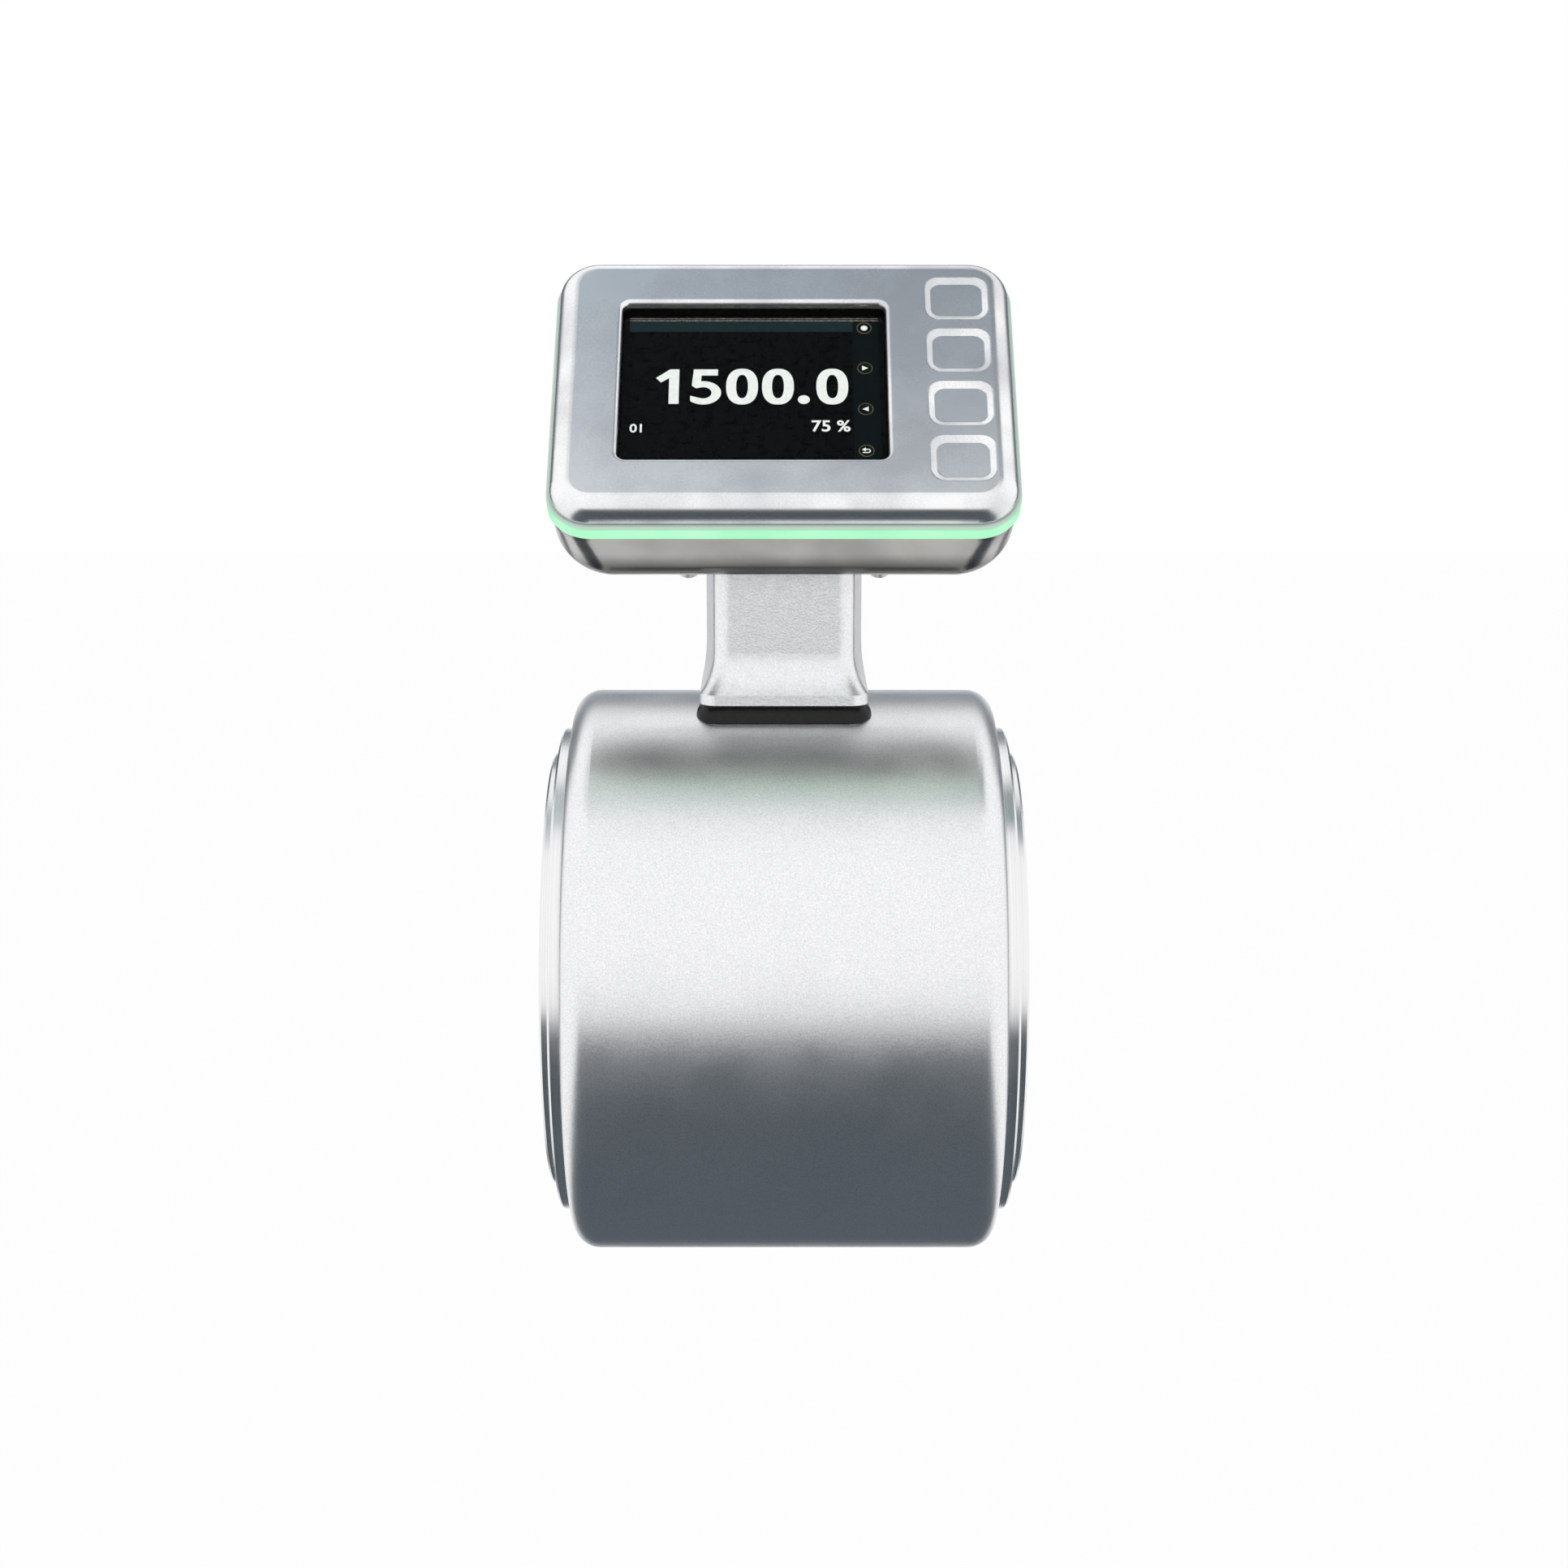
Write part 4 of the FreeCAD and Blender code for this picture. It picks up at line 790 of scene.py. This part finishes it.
# %% Thread on the plug connection
THREAD_PITCH = 1.0 * MM
THREAD_RADIUS = 6.0 * MM
THREAD_CREST = 0.22 * MM
THREAD_RUN = 6.6 * MM
THREAD_TIP_GAP = 0.9 * MM
THREAD_TURN_STEPS = 40
THREAD_END_STEPS = 20
ROOT_SHIFT = 0.42
ROOT_SINK = -0.06
THREAD_PROFILE = ((-ROOT_SHIFT, ROOT_SINK), (0.0, 1.0), (ROOT_SHIFT, ROOT_SINK))

plug_low, plug_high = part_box("connector_shell")
plug_axis_z = (plug_low.z + plug_high.z) / 2


def plug_thread():
    """A ridge that climbs round the nose and runs out at both ends."""
    mesh = bmesh.new()
    steps = round(THREAD_RUN / THREAD_PITCH * THREAD_TURN_STEPS)
    start = plug_high.y - THREAD_TIP_GAP - THREAD_RUN
    previous = None
    for i in range(steps + 1):
        angle = 2 * math.pi * i / THREAD_TURN_STEPS
        run_out = min(1.0, i / THREAD_END_STEPS, (steps - i) / THREAD_END_STEPS)
        row = []
        for shift, rise in THREAD_PROFILE:
            radius = THREAD_RADIUS + THREAD_CREST * (rise * run_out if rise > 0 else rise)
            along = start + THREAD_PITCH * (i / THREAD_TURN_STEPS + shift)
            place = (radius * math.cos(angle), along, plug_axis_z + radius * math.sin(angle))
            row.append(mesh.verts.new(place))
        if previous:
            for first in range(2):
                mesh.faces.new((previous[first], row[first], row[first + 1], previous[first + 1]))
        previous = row
    shell_finish = nodes["connector_shell"].data.materials[0]
    return mesh_piece("plug_thread", mesh, shell_finish)


thread = plug_thread()
print("thread size:", [round(v / MM, 1) for v in thread.dimensions])

# %% [markdown]
# The display shows a reading in large white figures on black, a dark teal bar above them and a
# column of four key signs at the right. Every part of the picture is a thin film a few
# hundredths of a millimetre above the display. Figures this size could be typed with a font, but
# the built-in one has no bold cut and a bare stroke for a 1. Drawn outlines, with round parts
# from a formula, give figures of the right weight.

# %% Helpers for the display picture
FILM = 0.02 * MM
FIELD_LIFT = 0.03
TRIM_LIFT = 0.05
FIGURE_LIFT = 0.06
ROUND_POWER = 2.0
SIGN_ROUGHNESS = 0.3
SIGN_GRAIN_MM = 1.2


def on_screen(piece, x_mm, y_mm, lift_mm):
    """Lays a piece on the display at a place and fastens it to the root."""
    piece.matrix_world = on_display @ Matrix.Translation((x_mm * MM, y_mm * MM, lift_mm * MM))
    bpy.context.scene.collection.objects.link(piece)
    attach(piece, "root")
    return piece


def flat_piece(name, outlines, finish, lift_mm):
    """A thin film on the display from closed outlines in millimetres; inner ones are holes."""
    curve = bpy.data.curves.new(name, "CURVE")
    curve.dimensions = "2D"
    curve.fill_mode = "BOTH"
    curve.extrude = FILM
    for outline in outlines:
        line = curve.splines.new("POLY")
        line.points.add(len(outline) - 1)
        for point, (x, y) in zip(line.points, outline):
            point.co = (x * MM, y * MM, 0, 1)
        line.use_cyclic_u = True
    curve.materials.append(finish)
    return on_screen(bpy.data.objects.new(name, curve), 0, 0, lift_mm)


def round_part(centre, half_x, half_y, start=0.0, end=360.0, steps=40, power=ROUND_POWER):
    """Points on an oval between two angles. A power above 2 makes the oval squarer."""
    points = []
    gaps = steps if end - start == 360 else steps - 1
    for i in range(steps):
        angle = math.radians(start + (end - start) * i / gaps)
        across = math.cos(angle)
        upward = math.sin(angle)
        points.append((centre[0] + half_x * math.copysign(abs(across) ** (2 / power), across),
                       centre[1] + half_y * math.copysign(abs(upward) ** (2 / power), upward)))
    return points


def bar(left, low, right, high):
    return [(left, low), (right, low), (right, high), (left, high)]


def glowing(name, dark, light, strength=1.0):
    """Black that gives off its own uneven light, with the weak shine of the display."""
    finish, tree, shader, place = start_finish(name)
    shader.inputs["Base Color"].default_value = (0, 0, 0, 1)
    uneven = grain(tree, place, SIGN_GRAIN_MM, detail=1.0)
    tint(tree, uneven, dark, light, shader.inputs["Emission Color"])
    shader.inputs["Emission Strength"].default_value = strength
    shader.inputs["Specular IOR Level"].default_value = DISPLAY_SHINE
    shader.inputs["Roughness"].default_value = SIGN_ROUGHNESS
    return finish


figure_light = glowing("figure_light", (0.84, 0.90, 0.86), (0.94, 0.98, 0.93), strength=0.95)
bar_light = glowing("bar_light", (0.007, 0.018, 0.020), (0.011, 0.026, 0.028))
column_light = glowing("column_light", (0.0012, 0.0035, 0.0042), (0.0024, 0.0056, 0.0066))
ring_light = glowing("ring_light", (0.10, 0.085, 0.035), (0.16, 0.14, 0.065))
print("display helpers ready")

# %% [markdown]
# The figures. A nought is two ovals, a one is a stem with a flag, and a five is a bar, a short
# stem and a bowl. All are drawn in millimetres from their lower left corner and set side by side.
# A typed figure would be quicker, but its weight can't be tuned stroke by stroke.

# %% Draw the reading
FIGURE_HEIGHT = 10.4
FIGURE_WIDTH = 7.3
FIGURE_STEP = 8.2
POINT_STEP = 4.2
STROKE = 2.3
NOUGHT_POWER = 2.35
NOUGHT_OVERSHOOT = 0.2
NOUGHT_TOP_STROKE = 1.65
ONE_RIGHT = 5.65
FIVE_BAR_RIGHT = 6.3
FIVE_BAR_STROKE = 1.85
FIVE_BOWL = (3.0, 3.3)
POINT_MIDDLE = (1.35, 1.25)
READING_RIGHT = 21.6
READING_BASE = -4.5


def nought(x, y):
    half_x = FIGURE_WIDTH / 2
    half_y = FIGURE_HEIGHT / 2
    centre = (x + half_x, y + half_y)
    outer = round_part(centre, half_x, half_y + NOUGHT_OVERSHOOT, power=NOUGHT_POWER)
    inner = round_part(centre, half_x - STROKE, half_y - NOUGHT_TOP_STROKE, power=NOUGHT_POWER)
    return [outer, inner]


def one(x, y):
    right = x + ONE_RIGHT
    top = y + FIGURE_HEIGHT
    flag = [(right - 2.1, top), (right - 5.3, top - 2.6), (right - 4.15, top - 3.95)]
    return [[(right, y), (right, top), *flag, (right - STROKE, top - 2.65), (right - STROKE, y)]]


def five(x, y):
    top = y + FIGURE_HEIGHT
    bar_right = x + FIVE_BAR_RIGHT
    bar_low = top - FIVE_BAR_STROKE
    bowl_middle = (x + FIVE_BOWL[0], y + FIVE_BOWL[1])
    head = [(x + 0.35, y + 5.5), (x + 0.77, top), (bar_right, top), (bar_right, bar_low),
            (x + 2.55, bar_low), (x + 2.45, y + 6.77)]
    bowl_outside = round_part(bowl_middle, 4.1, 3.5, start=93, end=-136, steps=26)
    bowl_inside = round_part(bowl_middle, 1.9, 1.72, start=-112, end=108, steps=20)
    return [[*head, *bowl_outside, (x + 0.05, y + 2.4), *bowl_inside, (x + 1.37, y + 4.65)]]


def full_point(x, y):
    return [round_part((x + POINT_MIDDLE[0], y + POINT_MIDDLE[1]), 1.36, 1.3, steps=24)]


def reading(text, right, base):
    """Outlines for a row of figures that ends at the given right edge."""
    shapes = {"0": nought, "1": one, "5": five, ".": full_point}
    steps = [POINT_STEP if sign == "." else FIGURE_STEP for sign in text]
    x = right - sum(steps) + (FIGURE_STEP - FIGURE_WIDTH)
    outlines = []
    for sign, step in zip(text, steps):
        outlines += shapes[sign](x, base)
        x += step
    return outlines


reading_outlines = reading("1500.0", READING_RIGHT, READING_BASE)
figures = flat_piece("display_figures", reading_outlines, figure_light, FIGURE_LIFT)
print("figures drawn, width", round(figures.dimensions.x / MM, 1), "mm")

# %% [markdown]
# The rest of the picture: the bar over the figures, the column for the key signs, four signs
# in thin rings, and two small lines of plain figures under the reading. Two thin metal strips
# run along the upper edge of the display. The small figures are typed, because at that size the
# weight of the built-in font no longer shows.

# %% Draw the bar, the column and the key signs
HALF_WIDTH = 28.8
HALF_HEIGHT = 21.6
BAR_BOTTOM = 17.5
TRIM_BARS = ((20.7, 21.2), (21.5, 21.75))
TRIM_LOOK = {"dark": (0.13, 0.12, 0.10), "light": (0.24, 0.22, 0.18),
             "shine": 0.22, "size_mm": 1.0, "depth_mm": 0.004}
COLUMN_LEFT = 22.8
SIGN_COUNT = 4
SIGN_X = 25.5
SIGN_TOP = 18.65
SIGN_STEP = 12.35
RING_RADIUS = 1.75
RING_LINE = 0.17
DOT_RADIUS = 0.78
TURN_OUTER = 0.6
TURN_INNER = 0.35
SMALL_CAPITAL_SHARE = 0.70
SMALL_BOLDNESS = 0.018

bar_field = bar(-HALF_WIDTH, BAR_BOTTOM, COLUMN_LEFT, HALF_HEIGHT)
column_field = bar(COLUMN_LEFT, -HALF_HEIGHT, HALF_WIDTH, HALF_HEIGHT)
flat_piece("display_bar", [bar_field], bar_light, FIELD_LIFT)
flat_piece("display_column", [column_field], column_light, FIELD_LIFT)
trim_metal = small_metal("display_trim_finish", **TRIM_LOOK)
trim_strips = [bar(-HALF_WIDTH, low, HALF_WIDTH, high) for low, high in TRIM_BARS]
flat_piece("display_trim", trim_strips, trim_metal, TRIM_LIFT)
sign_places = [(SIGN_X, SIGN_TOP - i * SIGN_STEP) for i in range(SIGN_COUNT)]
rings = []
for sign_place in sign_places:
    for radius in (RING_RADIUS, RING_RADIUS - RING_LINE):
        rings.append(round_part(sign_place, radius, radius))
flat_piece("display_sign_rings", rings, ring_light, FIGURE_LIFT)


def arrow(x, y, side):
    """A small triangle that points right for a side of 1 and left for -1."""
    return [(x + side * 0.75, y), (x - side * 0.65, y + 0.72), (x - side * 0.65, y - 0.72)]


def back_arrow(x, y):
    """A bent arrow that turns back to the left."""
    tip = [(x - 1.05, y + 0.35), (x - 0.2, y + 0.95), (x - 0.2, y + 0.55)]
    centre = (x + 0.35, y - 0.05)
    turn = round_part(centre, TURN_OUTER, TURN_OUTER, start=90, end=-90, steps=10)
    back = [(x - 0.9, y - 0.65), (x - 0.9, y - 0.40)]
    inner = round_part(centre, TURN_INNER, TURN_INNER, start=-90, end=90, steps=8)
    return tip + turn + back + inner + [(x - 0.2, y + 0.20), (x - 0.2, y - 0.2)]


signs = [round_part(sign_places[0], DOT_RADIUS, DOT_RADIUS, steps=24),
         arrow(*sign_places[1], 1), arrow(*sign_places[2], -1), back_arrow(*sign_places[3])]
flat_piece("display_key_signs", signs, figure_light, FIGURE_LIFT)


def small_figures(name, text, x_mm, y_mm, height_mm, align):
    """Typed figures of a given height, on the base line y and from or up to the edge x."""
    curve = bpy.data.curves.new(name, "FONT")
    curve.body = text
    curve.size = height_mm * MM / SMALL_CAPITAL_SHARE
    curve.offset = SMALL_BOLDNESS * curve.size
    curve.align_x = align
    curve.extrude = FILM
    curve.materials.append(figure_light)
    on_screen(bpy.data.objects.new(name, curve), x_mm, y_mm, FIGURE_LIFT)


small_figures("display_channel", "01", x_mm=-28.0, y_mm=-12.95, height_mm=2.4, align="LEFT")
small_figures("display_share", "75 %", x_mm=22.0, y_mm=-12.65, height_mm=3.2, align="RIGHT")
print("signs:", len(signs))
